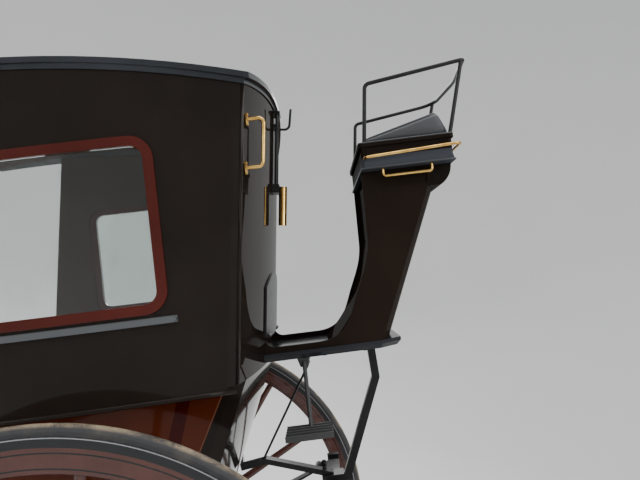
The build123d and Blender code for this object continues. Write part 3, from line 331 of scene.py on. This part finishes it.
def wheel_paint():
    """Maroon wheel with fine black lines, black nave ends, a black channel and a brass cap."""
    paint = Finish("wheel_paint", Coat_Roughness=0.04, Specular_IOR_Level=0.3)
    where = paint.level()
    _, across, up = paint.parts(where)
    from_hub = paint.from_hub(where)
    out = abs(across) - (WHEEL_TRACK / 2)
    off_nave = abs(out + NAVE_INSET)
    clouds = paint.noise(11, 4, 0.6, where)
    lighter = tuple(channel * 1.35 for channel in WHEEL_MAROON)
    base = paint.colour(clouds.ramp(0.35, 0.7), WHEEL_MAROON, lighter)
    off_felloe = abs(from_hub - FELLOE_MIDDLE)
    fine_lines = (from_hub > FELLOE_IN) * (abs(off_felloe - FELLOE_LINES) < 0.0016)
    nave_lines = (abs(off_nave - NAVE_LINES) < 0.002) * (from_hub < NAVE_R)
    base = paint.colour(fine_lines, base, BLACK)
    base = paint.colour(nave_lines, base, BLACK)
    nave_end = (off_nave > NAVE_BLACK) * (from_hub < NAVE_R + 0.01)
    base = paint.colour(nave_end, base, BLACK)
    dusty = paint.noise(24, 5, 0.7, where).ramp(0.52, 0.78) * (1 - up.ramp(0.1, 1.25)) * 0.3
    base = paint.colour(dusty, base, DUST)
    channel = from_hub > CHANNEL_IN
    bright = from_hub.line(CHANNEL_LIP, 0.0022)
    base = paint.colour(channel, base, PITCH)
    base = paint.colour(bright, base, WORN_STEEL)
    cap = (out > CAP_OUT) * (from_hub < 0.05)
    base = paint.colour(cap, base, BRASS)
    bare = bright + cap
    rough = 0.13 + clouds * 0.08 + dusty + channel * 0.12
    paint.wear(Base_Color=base, Roughness=rough, Metallic=bare.ramp(0.2, 0.8))
    paint.wear(Coat_Weight=0.25 - channel * 0.2)
    paint.bump(clouds + paint.noise(120, 2, 0.5, where) * 0.1, 0.0006, 0.4)
    return paint.material


def tyre_rubber():
    """Grey rubber, worn and dusty on the tread, with fine cracks."""
    rubber = Finish("tyre_rubber", Specular_IOR_Level=0.35)
    where = rubber.level()
    from_hub = rubber.from_hub(where)
    speckle = rubber.noise(420, 3, 0.7, where)
    clouds = rubber.noise(16, 4, 0.6, where)
    tread = from_hub.ramp(0.6935, 0.6985)
    dust = tread * (speckle * 0.6 + clouds * 0.6).ramp(0.52, 0.66) * 0.85
    dust = dust + clouds.ramp(0.5, 0.8) * 0.10
    base = rubber.colour(clouds, (0.015, 0.0155, 0.017), (0.034, 0.034, 0.037))
    base = rubber.colour(dust, base, DUST)
    rubber.wear(Base_Color=base, Roughness=0.55 + dust * 0.35)
    rubber.bump(speckle * tread + rubber.cells(150, vector=where).ramp(0, 0.06) * 0.3, 0.0009, 0.7)
    return rubber.material


def brass():
    """Polished brass with a little tarnish in patches."""
    metal = Finish("brass", Metallic=1.0)
    patches = metal.noise(28, 4, 0.65)
    rubbed = metal.noise(300, 2, 0.5)
    base = metal.colour(patches.ramp(0.42, 0.72), BRASS, (0.40, 0.22, 0.06))
    metal.wear(Base_Color=base, Roughness=0.16 + patches * 0.12 + rubbed * 0.06)
    metal.bump(rubbed + patches, 0.0003, 0.35)
    return metal.material


def iron_paint(name, tone=(0.0085, 0.0085, 0.009), rough=0.27):
    """Hand-painted wrought iron: satin black with soft hammer marks and light dust."""
    iron = Finish(name, Coat_Roughness=0.2, Specular_IOR_Level=0.14)
    marks = iron.noise(38, 3, 0.6)
    dust = iron.noise(90, 4, 0.7).ramp(0.6, 0.8) * 0.10
    iron.wear(
        Base_Color=iron.colour(dust, iron.colour(marks, tone, tuple(c * 1.8 for c in tone)), DUST),
        Roughness=rough + marks * 0.12 + dust, Coat_Weight=0.10 - dust * 0.5,
    )
    iron.bump(marks + iron.noise(160, 2, 0.5) * 0.2, 0.0011, 0.5)
    return iron.material


def hide(name, gathers=0.0):
    """Black hide, tinted blue-grey as a painted reflection of the sky: fine grain, soft creases
    and rubbed high places.
    """
    leather = Finish(name, Coat_Roughness=0.35)
    grain = leather.cells(620).ramp(0, 0.12)
    creases = leather.noise(19, 4, 0.62)
    rubbed = leather.noise(6, 3, 0.5).ramp(0.45, 0.75)
    base = leather.colour(rubbed, SKY_TINTED_HIDE, tuple(c * 2.0 + 0.004 for c in SKY_TINTED_HIDE))
    base = leather.colour((1 - grain) * 0.5, base, tuple(c * 0.4 for c in SKY_TINTED_HIDE))
    rough = 0.33 + creases * 0.16 + rubbed * 0.06
    leather.wear(Base_Color=base, Roughness=rough, Coat_Weight=0.3 - rubbed * 0.15)
    folds = leather.noise(9, 2, 0.5, leather.stretched(leather.place(), (1, 7, 2))) * gathers
    leather.bump(grain * 0.25 + creases * 1.2 + folds, 0.0016, 0.55)
    return leather.material


def window_glass():
    """Clear glass with a faint film."""
    pane = Finish("window_glass", Transmission_Weight=1.0, IOR=1.45)
    film = pane.noise(7, 4, 0.6).ramp(0.5, 0.8)
    base = pane.colour(film, (0.80, 0.86, 0.84), (0.70, 0.74, 0.72))
    pane.wear(Base_Color=base, Roughness=0.015 + film * 0.05)
    return pane.material


def shaft_paint():
    """Black lacquered ash with the grain just showing, worn at the tugs."""
    wood = Finish("shaft_paint", Coat_Roughness=0.06)
    where = wood.level()
    ahead, _, _ = wood.parts(where)
    grain = wood.noise(34, 4, 0.6, wood.stretched(where, (0.05, 1, 1)))
    worn = abs(ahead - 2.45).ramp(0.25, 0.02) * wood.noise(45, 4, 0.7, where).ramp(0.5, 0.66) * 0.6
    base = wood.colour(grain.ramp(0.4, 0.7), (0.009, 0.0075, 0.007), (0.016, 0.012, 0.010))
    base = wood.colour(worn, base, (0.20, 0.12, 0.06))
    wood.wear(Base_Color=base, Roughness=0.12 + grain * 0.08 + worn * 0.5, Coat_Weight=0.6 - worn)
    wood.bump(grain, 0.0006, 0.5)
    return wood.material


# Paints, metals and hides
black_coach = coach_paint("black_coach_paint")
side_panel_paint = coach_paint("side_panel_paint", lined=side_panel_lines)
back_panel_paint = coach_paint(
    "back_panel_paint", gloss=0.02, lined=cloth_inside(back_inside), coat=0.34, shine=0.0
)
roof_paint = coach_paint("roof_paint", (0.022, 0.024, 0.028), 0.16, cloth_inside(roof_inside))
pedestal_paint = coach_paint(
    "pedestal_paint", (0.0125, 0.0085, 0.0065), 0.30, coat=0.06, shine=0.0
)
seat_box_paint = coach_paint("seat_box_paint", lined=seat_box_lines, coat=0.06, shine=0.0)
board_paint = coach_paint("footboard_paint", (0.015, 0.016, 0.019), 0.12)
maroon_panel = coach_paint("maroon_panel_paint", MAROON, 0.10, lower_side_lines)
maroon_trim = coach_paint("maroon_trim_paint", (0.050, 0.010, 0.0075), 0.12)
floor_paint = coach_paint("floor_paint", (0.020, 0.014, 0.011), 0.45)
wheel_finish = wheel_paint()
rubber = tyre_rubber()
polished_brass = brass()
iron = iron_paint("black_iron")
bare_steel = iron_paint("worn_step_steel", (0.030, 0.030, 0.031), 0.38)
black_hide = hide("black_hide")
gathered_hide = hide("gathered_hide", gathers=0.9)
glass = window_glass()
lacquered_shaft = shaft_paint()

node_finish = {
    "side_panel": side_panel_paint, "back_panel": back_panel_paint, "roof": roof_paint,
    "roof_hatch": roof_paint, "pedestal": pedestal_paint, "lower_side": maroon_panel,
    "seat_box": seat_box_paint, "footboard": board_paint, "floor": floor_paint,
    "window_frame": maroon_trim, "window_glass": glass, "wheel": wheel_finish, "tyre": rubber,
    "shaft": lacquered_shaft, "brass_rail": polished_brass, "under_handle": polished_brass,
    "grab_handle": polished_brass, "whip_socket": polished_brass, "axle": iron,
    "body_loop": iron, "cross_spring": iron, "side_spring": iron, "rear": iron,
    "seat_rail": iron, "rein_bracket": iron, "toe_plate": iron, "entry_step": bare_steel,
    "step_tread": bare_steel, "seat_cushion": black_hide, "back_cushion": black_hide,
    "driver_cushion": black_hide,
}


def finish_of(name):
    """The finish for a node: that of the longest name that it starts with."""
    known = [start for start in node_finish if name.startswith(start)]
    return node_finish[max(known, key=len)] if known else black_coach


for name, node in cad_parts.items():
    node.data.materials.clear()
    node.data.materials.append(finish_of(name))


# Making pieces
def finished(name, bm, material, body):
    """Turns a bmesh drawn in the driving attitude into a parked piece that rides on a body."""
    bmesh.ops.transform(bm, matrix=PARK, verts=bm.verts)
    bmesh.ops.recalc_face_normals(bm, faces=bm.faces)
    mesh = bpy.data.meshes.new(name)
    bm.to_mesh(mesh)
    bm.free()
    mesh.shade_smooth()
    piece = bpy.data.objects.new(name, mesh)
    bpy.context.scene.collection.objects.link(piece)
    mesh.materials.append(material)
    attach(piece, body)


def tipped(point, way):
    """A frame at a point whose z runs along a direction."""
    way = Vector(way).normalized()
    side = Vector((0, 0, 1)).cross(way)
    if side.length < 1e-4:
        side = Vector((0, 1, 0)).cross(way)
    side.normalize()
    over = way.cross(side)
    return Matrix.Translation(point) @ Matrix((side, over, way)).transposed().to_4x4()


def add_rod(bm, points, radius, sides=14, closed=False):
    """A rod through points: a ring of vertices extruded from each point to the next."""
    path = [Vector(point) for point in points]
    last = len(path) - 1
    frames = []
    for k, point in enumerate(path):
        before = path[k - 1] if k or closed else point
        after = path[(k + 1) % len(path)] if k < last or closed else point
        ways = [way.normalized() for way in (point - before, after - point) if way.length > 1e-9]
        frames.append(tipped(point, sum(ways, Vector())))
    ring = bmesh.ops.create_circle(bm, radius=radius, segments=sides)["verts"]
    bmesh.ops.transform(bm, matrix=frames[0], verts=ring)
    first = edges = list({edge for vert in ring for edge in vert.link_edges})
    for here, there in zip(frames, frames[1:]):
        grown = bmesh.ops.extrude_edge_only(bm, edges=edges)["geom"]
        verts = [item for item in grown if isinstance(item, bmesh.types.BMVert)]
        bmesh.ops.transform(bm, matrix=there @ here.inverted(), verts=verts)
        edges = [item for item in grown if isinstance(item, bmesh.types.BMEdge)]
    if closed:
        bmesh.ops.bridge_loops(bm, edges=first + edges)
    else:
        bmesh.ops.holes_fill(bm, edges=first + edges, sides=0)


def add_bolt(bm, point, way, radius, rise):
    """A domed bolt head: a disc drawn up in two steps."""
    ring = bmesh.ops.create_circle(bm, radius=radius, segments=16, cap_ends=True)["verts"]
    bmesh.ops.transform(bm, matrix=tipped(point, way), verts=ring)
    face = ring[0].link_faces[0]
    for share, width in ((0.55, 0.98), (0.35, 0.78), (0.10, 0.45)):
        grown = bmesh.ops.extrude_face_region(bm, geom=[face])["geom"]
        face = next(item for item in grown if isinstance(item, bmesh.types.BMFace))
        bmesh.ops.translate(bm, vec=Vector(way).normalized() * rise * share, verts=face.verts)
        to_middle = Matrix.Translation(face.calc_center_median())
        shrink = to_middle @ Matrix.Scale(width, 4) @ to_middle.inverted()
        bmesh.ops.transform(bm, matrix=shrink, verts=face.verts)


def on_back(up, out, across):
    """A point off the back panel, at a height above the ground and to the left."""
    bow = BACK_BOW * (1 - (across / BODY_HALF_REAR) ** 2)
    return Vector((BACK_X - (up - SILL_Z) * math.tan(RAKE) - bow - out, across, up))


def arc_through(a, b, c):
    """Centre and radius of the circle through three points of a plan."""
    (ax, ay), (bx, by), (cx, cy) = a, b, c
    scale = 2 * (ax * (by - cy) + bx * (cy - ay) + cx * (ay - by))
    sa, sb, sc = ax * ax + ay * ay, bx * bx + by * by, cx * cx + cy * cy
    centre = Vector((
        (sa * (by - cy) + sb * (cy - ay) + sc * (ay - by)) / scale,
        (sa * (cx - bx) + sb * (ax - cx) + sc * (bx - ax)) / scale,
    ))
    return centre, (Vector(a) - centre).length


side_centre, side_radius = arc_through(
    (BACK_X, BODY_HALF_REAR), (BODY_MID_X, BODY_HALF_MID), (BODY_FRONT_X, BODY_HALF_FRONT)
)


def on_side(ahead, up, side):
    """A point on a side panel's face, at a height above the ground."""
    lean = (up - SILL_Z) * math.tan(RAKE)
    plan_x = ahead + lean
    across = side_centre.y + math.sqrt(side_radius ** 2 - (plan_x - side_centre.x) ** 2)
    return Vector((ahead, side * across, up))


# Beads along the body's rear corners and its waist
CORNER_HEIGHTS = (SILL_Z + 0.002, 1.75, 2.105)
WAIST_STEP = 0.0866
for side, name in ((1, "left"), (-1, "right")):
    bm = bmesh.new()
    corner = [
        (BACK_X - (up - SILL_Z) * math.tan(RAKE), side * BODY_HALF_REAR, up)
        for up in CORNER_HEIGHTS
    ]
    add_rod(bm, corner, 0.0045)
    waist = [on_side(BACK_X + 0.003 + k * WAIST_STEP, SILL_Z - 0.012, side) for k in range(11)]
    add_rod(bm, waist, 0.006)
    finished(f"body_beads_{name}", bm, black_coach, "cab")


# Cushions: a seamed case, blown up by cloth simulation with its seams held
def seam_distance(point, seam):
    """How far a point is from a closed seam."""
    nearest = 1.0
    for start, end in zip(seam, seam[1:] + seam[:1]):
        run = end - start
        share = max(0.0, min(1.0, (point - start).dot(run) / run.length_squared))
        nearest = min(nearest, (point - start - run * share).length)
    return nearest


CASE_EASE = 0.012
CASE_VOXEL = 0.006
HELD_REACH = 0.009
FILL_STEPS = 20


def stuffed(name, corners, seams, cap, pressure, dimples):
    """A cushion from the plan of its case: filled, blown up and smoothed.

    corners are its eight corners, lower four first. Each seam is held where it is, and
    a point moves at most cap from the case. A dimple is (point, reach, depth, way in).
    """
    bm = bmesh.new()
    verts = bmesh.ops.create_cube(bm, size=1)["verts"]
    verts.sort(key=lambda vert: (vert.co.z > 0, math.atan2(vert.co.y, vert.co.x)))
    for vert, place in zip(verts, corners):
        vert.co = place
    bmesh.ops.bevel(
        bm, geom=bm.edges[:], offset=CASE_EASE, offset_type="OFFSET", segments=3, profile=0.5,
        affect="EDGES", material=-1,
    )
    bmesh.ops.transform(bm, matrix=PARK, verts=bm.verts)
    bmesh.ops.recalc_face_normals(bm, faces=bm.faces)
    mesh = bpy.data.meshes.new(name)
    bm.to_mesh(mesh)
    bm.free()
    case = bpy.data.objects.new(name, mesh)
    bpy.context.scene.collection.objects.link(case)
    remesh = case.modifiers.new("even", "REMESH")
    remesh.mode = "VOXEL"
    remesh.voxel_size = CASE_VOXEL * 1
    apply_modifiers(case)
    parked_seams = [[PARK @ Vector(point) for point in seam] for seam in seams]
    held = case.vertex_groups.new(name="held")
    for vert in case.data.vertices:
        near = min((seam_distance(vert.co, seam) for seam in parked_seams), default=1.0)
        if near < HELD_REACH:
            held.add([vert.index], 1.0, "REPLACE")
    for centre, reach, depth, way in dimples:
        middle, inward = PARK @ Vector(centre), PARK.to_3x3() @ Vector(way)
        for vert in case.data.vertices:
            share = 1 - min(1.0, (vert.co - middle).length / reach)
            if share > 0:
                vert.co += inward * depth * share * share
            if share > 0.72:
                held.add([vert.index], 1.0, "REPLACE")
    start = [vert.co.copy() for vert in case.data.vertices]
    cloth = case.modifiers.new("fill", "CLOTH")
    cloth.settings.use_pressure = True
    cloth.settings.uniform_pressure_force = pressure
    cloth.settings.effector_weights.gravity = 0
    cloth.settings.vertex_group_mass = "held"
    for step in range(1, FILL_STEPS + 1):
        bpy.context.scene.frame_set(step)
    apply_modifiers(case)
    bpy.context.scene.frame_set(1)
    for vert, before in zip(case.data.vertices, start):
        moved = vert.co - before
        if moved.length > cap:
            vert.co = before + moved * (cap / moved.length)
    soft = case.modifiers.new("smooth", "SUBSURF")
    soft.levels = soft.render_levels = 1
    apply_modifiers(case)
    case.data.shade_smooth()
    return case


def apply_modifiers(piece):
    """Makes the modifiers' result the piece's own mesh."""
    seen = bpy.context.evaluated_depsgraph_get()
    mesh = bpy.data.meshes.new_from_object(piece.evaluated_get(seen))
    piece.modifiers.clear()
    old = piece.data
    piece.data = mesh
    bpy.data.meshes.remove(old)


def box_corners(rear_low, front_low, front_high, rear_high, half):
    """The eight corners of a case from its side view and half its width."""
    def row(rear, front):
        places = {(-1, -1): rear, (-1, 1): rear, (1, -1): front, (1, 1): front}
        return [
            Vector((places[key][0], key[1] * half, places[key][1]))
            for key in ((-1, -1), (1, -1), (1, 1), (-1, 1))
        ]

    return row(rear_low, front_low) + row(rear_high, front_high)


def seam_of(corners, inset=0.010):
    """A closed seam round four corners, a little inside them."""
    middle = sum(corners, Vector()) / 4
    return [corner + (middle - corner).normalized() * inset for corner in corners]


def cushion(name, corners, material, cap, dimples=(), seams=True, pressure=6.0):
    """A stuffed pad in a CAD cushion's place, with piping along its seams."""
    low, high = corners[:4], corners[4:]
    held = [seam_of(low), seam_of(high)] if seams else []
    piece = stuffed(name + "_pad", corners, held, cap, pressure=pressure, dimples=dimples)
    piece.data.materials.clear()
    piece.data.materials.append(material)
    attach(piece, "cab")
    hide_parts(name)
    bm = bmesh.new()
    for seam in held:
        rounded = round_corners(seam, 0.02)
        add_rod(bm, rounded, 0.0032, 8, closed=True)
    if held:
        finished(name + "_piping", bm, material, "cab")


def round_corners(loop, reach, steps=4):
    """A closed loop with each corner replaced by a short curve."""
    made = []
    for k, corner in enumerate(loop):
        before = corner + (loop[k - 1] - corner).normalized() * reach
        after = corner + (loop[(k + 1) % len(loop)] - corner).normalized() * reach
        for step in range(steps + 1):
            t = step / steps
            made.append(before * (1 - t) ** 2 + corner * 2 * t * (1 - t) + after * t ** 2)
    return made


DRIVER_PAD_HALF = 0.219
driver_pad = box_corners(
    (SEAT_REAR_X - 0.003, SEAT_TOP + 0.002), (SEAT_FRONT_X - 0.013, SEAT_TOP + 0.002),
    (SEAT_FRONT_X - 0.016, SEAT_TOP + 0.014), (SEAT_REAR_X + 0.026, SEAT_TOP + 0.070),
    DRIVER_PAD_HALF,
)
cushion("driver_cushion", driver_pad, gathered_hide, 0.017, pressure=11.0)

# Slate hide edging along the lip and the foot of the seat box
bm = bmesh.new()
for up, out in ((SEAT_TOP, 0.005), (PED_TOP_Z + 0.002, 0.0055)):
    rear, front, half = SEAT_REAR_X - out, SEAT_FRONT_X + out, SEAT_BOX_HALF + out
    plan = ((rear, -half), (front, -half), (front, half), (rear, half))
    loop = [Vector((x, y, up)) for x, y in plan]
    add_rod(bm, round_corners(loop, 0.012), 0.0022, 8, closed=True)
finished("seat_box_edging", bm, gathered_hide, "cab")

SEAT_PAD_REAR = -0.1095
SEAT_PAD_FRONT = 0.214
SEAT_PAD_TOP = DECK_TOP + 0.097
seat_pad = box_corners(
    (SEAT_PAD_REAR, DECK_TOP + 0.004), (SEAT_PAD_FRONT, DECK_TOP + 0.004),
    (SEAT_PAD_FRONT + 0.004, SEAT_PAD_TOP), (SEAT_PAD_REAR, SEAT_PAD_TOP), INNER_HALF - 0.012,
)
cushion("seat_cushion", seat_pad, black_hide, 0.014)


def on_lower_back(up, out):
    """Ahead and up of a point off the lower back's inner face."""
    return (INNER_X + (SILL_Z - up) * math.tan(LOWER_RAKE) + out, up)


BACK_PAD_LOW = 0.957
BACK_PAD_HIGH = 1.362
BACK_PAD_THICK = 0.052
BUTTON_ROWS = (1.05, 1.16, 1.27)
BUTTON_STEP = 0.16
BUTTON_REACH = 0.05
BUTTON_DEPTH = 0.022
buttons = []
pad_way = Vector((-math.cos(LOWER_RAKE), 0, -math.sin(LOWER_RAKE)))
for row, up in enumerate(BUTTON_ROWS):
    for k in range(5 if row % 2 else 4):
        across = (k - (2 if row % 2 else 1.5)) * BUTTON_STEP
        ahead, height = on_lower_back(up, BACK_PAD_THICK + 0.004)
        place = Vector((ahead, across, height))
        buttons.append((place, BUTTON_REACH, BUTTON_DEPTH, pad_way))
back_pad = box_corners(
    on_lower_back(BACK_PAD_LOW, 0.004), on_lower_back(BACK_PAD_LOW, BACK_PAD_THICK),
    on_lower_back(BACK_PAD_HIGH, BACK_PAD_THICK), on_lower_back(BACK_PAD_HIGH, 0.004),
    INNER_HALF - 0.018,
)
cushion("back_cushion", back_pad, black_hide, 0.014, dimples=buttons, seams=False)
bm = bmesh.new()
for centre, _, _, way in buttons:
    add_bolt(bm, centre + way * 0.012, -way, 0.009, 0.006)
finished("back_cushion_buttons", bm, black_hide, "cab")

# Screws in the feet of the grab handle
HANDLE_HEIGHTS = (2.025, 1.905)
HANDLE_Y = 0.470
bm = bmesh.new()
for height in HANDLE_HEIGHTS:
    for off in (0.011, -0.011):
        add_bolt(bm, on_back(height + off, 0.0045, HANDLE_Y), (-1, 0, 0), 0.0032, 0.002)
finished("handle_screws", bm, polished_brass, "cab")

# Thin brace from the step's hanger to the rear iron, and the stud on the spring clamp
BRACE_R = 0.0035
BRACE = [
    (-0.573, 0.176, 1.384), (-0.566, 0.168, 1.368),
    (-0.386, 0.010, 1.070), (-0.380, 0.004, 1.064),
]
STUD_X = -0.576
STUD_FOOT, STUD_TOP = 1.006, 1.036
bm = bmesh.new()
add_rod(bm, BRACE, BRACE_R, 10)
add_rod(bm, [(STUD_X, 0, STUD_FOOT), (STUD_X, 0, STUD_TOP)], 0.006)
add_bolt(bm, Vector((STUD_X, 0, STUD_TOP - 0.002)), (0, 0, 1), 0.0085, 0.016)
finished("step_brace", bm, iron, "cab")

# A turned brass knob on each door, by the door's foot and its slope
SLOPE = math.radians(19.6)
DOOR_FOOT = (0.848, 0.480)
KNOB_Y = 0.024
KNOB_UP = 0.66
DOOR_FACE = 0.0205
door_out = Vector((math.cos(SLOPE), 0, math.sin(SLOPE)))
door_up = Vector((-math.sin(SLOPE), 0, math.cos(SLOPE)))
for side, name in ((1, "left"), (-1, "right")):
    bm = bmesh.new()
    foot = Vector((DOOR_FOOT[0], side * KNOB_Y, DOOR_FOOT[1]))
    knob = foot + door_up * KNOB_UP + door_out * DOOR_FACE
    add_rod(bm, [knob - door_out * 0.001, knob + door_out * 0.016], 0.005)
    add_bolt(bm, knob + door_out * 0.014, door_out, 0.012, 0.014)
    finished(f"door_knob_{name}", bm, polished_brass, f"door_{name}")

# Bolts under the footboard and on the clips of the side springs
BOARD_UNDER = 1.396
BOARD_BOLTS_X = (-0.50, -0.62, -0.74)
BOARD_BOLTS_Y = (-0.15, 0.15)
CLIP_TOP = 0.767
CLIP_Y = 0.490
bm = bmesh.new()
for ahead in BOARD_BOLTS_X:
    for across in BOARD_BOLTS_Y:
        add_bolt(bm, Vector((ahead, across, BOARD_UNDER)), (0, 0, -1), 0.008, 0.006)
for side in (1, -1):
    for ahead in (-0.035, 0.035):
        for off in (-0.013, 0.013):
            place = Vector((ahead, side * (CLIP_Y + off), CLIP_TOP))
            add_bolt(bm, place, (0, 0, 1), 0.006, 0.006)
finished("frame_bolts", bm, iron, "cab")


# Stage: a pale round dish with soft lights
def stage_dish():
    """A floor that curves up into a round wall."""
    clay = Finish("pale_stage", Roughness=0.9, Specular_IOR_Level=0.1)
    clouds = clay.noise(0.6, 3, 0.5)
    clay.wear(Base_Color=clay.colour(clouds, (0.70, 0.70, 0.69), (0.74, 0.74, 0.73)))
    bm = bmesh.new()
    floor_r, bend, wall_top = 7, 5, 13.0
    profile = [(0.0, 0.0), (floor_r - 1.0, 0.0)]
    for k in range(17):
        turn = k * math.pi / 32
        profile.append((floor_r + bend * math.sin(turn), bend - bend * math.cos(turn)))
    profile.append((floor_r + bend, wall_top))
    verts = [bm.verts.new((x, 0, z)) for x, z in profile]
    edges = [bm.edges.new(pair) for pair in zip(verts, verts[1:])]
    bmesh.ops.spin(
        bm, geom=verts + edges, cent=(0, 0, 0), axis=(0, 0, 1), angle=math.tau, steps=96,
        use_merge=True,
    )
    bmesh.ops.remove_doubles(bm, verts=bm.verts, dist=1e-4)
    mesh = bpy.data.meshes.new("stage_dish")
    bm.to_mesh(mesh)
    bm.free()
    mesh.shade_smooth()
    dish = bpy.data.objects.new("stage_dish", mesh)
    bpy.context.scene.collection.objects.link(dish)
    mesh.materials.append(clay.material)


stage_dish()


def soft_light(name, place, aim, size, power, tone=(1, 1, 1)):
    """A soft rectangular light, turned to a point."""
    lamp = bpy.data.lights.new(name, "AREA")
    lamp.shape = "RECTANGLE"
    lamp.size, lamp.size_y = size
    lamp.energy = power
    lamp.color = tone
    made = bpy.data.objects.new(name, lamp)
    bpy.context.scene.collection.objects.link(made)
    made.matrix_world = tipped(Vector(place), Vector(place) - Vector(aim))


middle = Vector((-0.7, 0, 1.2))
soft_light("top_light", (-0.5, 0.5, 7.5), middle, (7, 7), 420)
soft_light("key_light", (-6.0, 5.5, 5.0), middle, (4, 4), 330, (1.0, 0.98, 0.95))
soft_light("fill_light", (6.0, 6.0, 4.0), middle, (4, 4), 170, (0.95, 0.98, 1.0))
soft_light("far_light", (1.0, -7.5, 5.0), middle, (5, 3), 200)

world = bpy.data.worlds.new("pale_air")
world.use_nodes = True
world.node_tree.nodes["Background"].inputs["Color"].default_value = (0.82, 0.85, 0.88, 1)
world.node_tree.nodes["Background"].inputs["Strength"].default_value = 0.9
bpy.context.scene.world = world

# Camera: the photograph's, carried round the axle with the cab as it is parked
PHOTO_NOSE = math.radians(7.25)
TIP = PARK_TURN - PHOTO_NOSE
RISE = 0.062
ROLL = math.radians(0.3)
EYE = Vector((-1.3425, 1.94, 1.7758))
away = Vector((math.sin(RISE) * math.sin(TIP), -math.cos(RISE), math.sin(RISE) * math.cos(TIP)))
right = Vector((-math.cos(TIP), 0, math.sin(TIP)))
lens = bpy.data.cameras.new("photo_camera")
SENSOR = 36
FOCAL_PIXELS = 606
PICTURE_WIDE = 640
lens.sensor_width = SENSOR
lens.lens = FOCAL_PIXELS / PICTURE_WIDE * SENSOR
lens.clip_start, lens.clip_end = 0.05, 60
camera = bpy.data.objects.new("photo_camera", lens)
bpy.context.scene.collection.objects.link(camera)
over = right.cross(away)
turned = Matrix((right, over, -away)).transposed() @ Matrix.Rotation(ROLL, 3, "Z")
camera.matrix_world = Matrix.Translation(EYE) @ turned.to_4x4()
bpy.context.scene.camera = camera
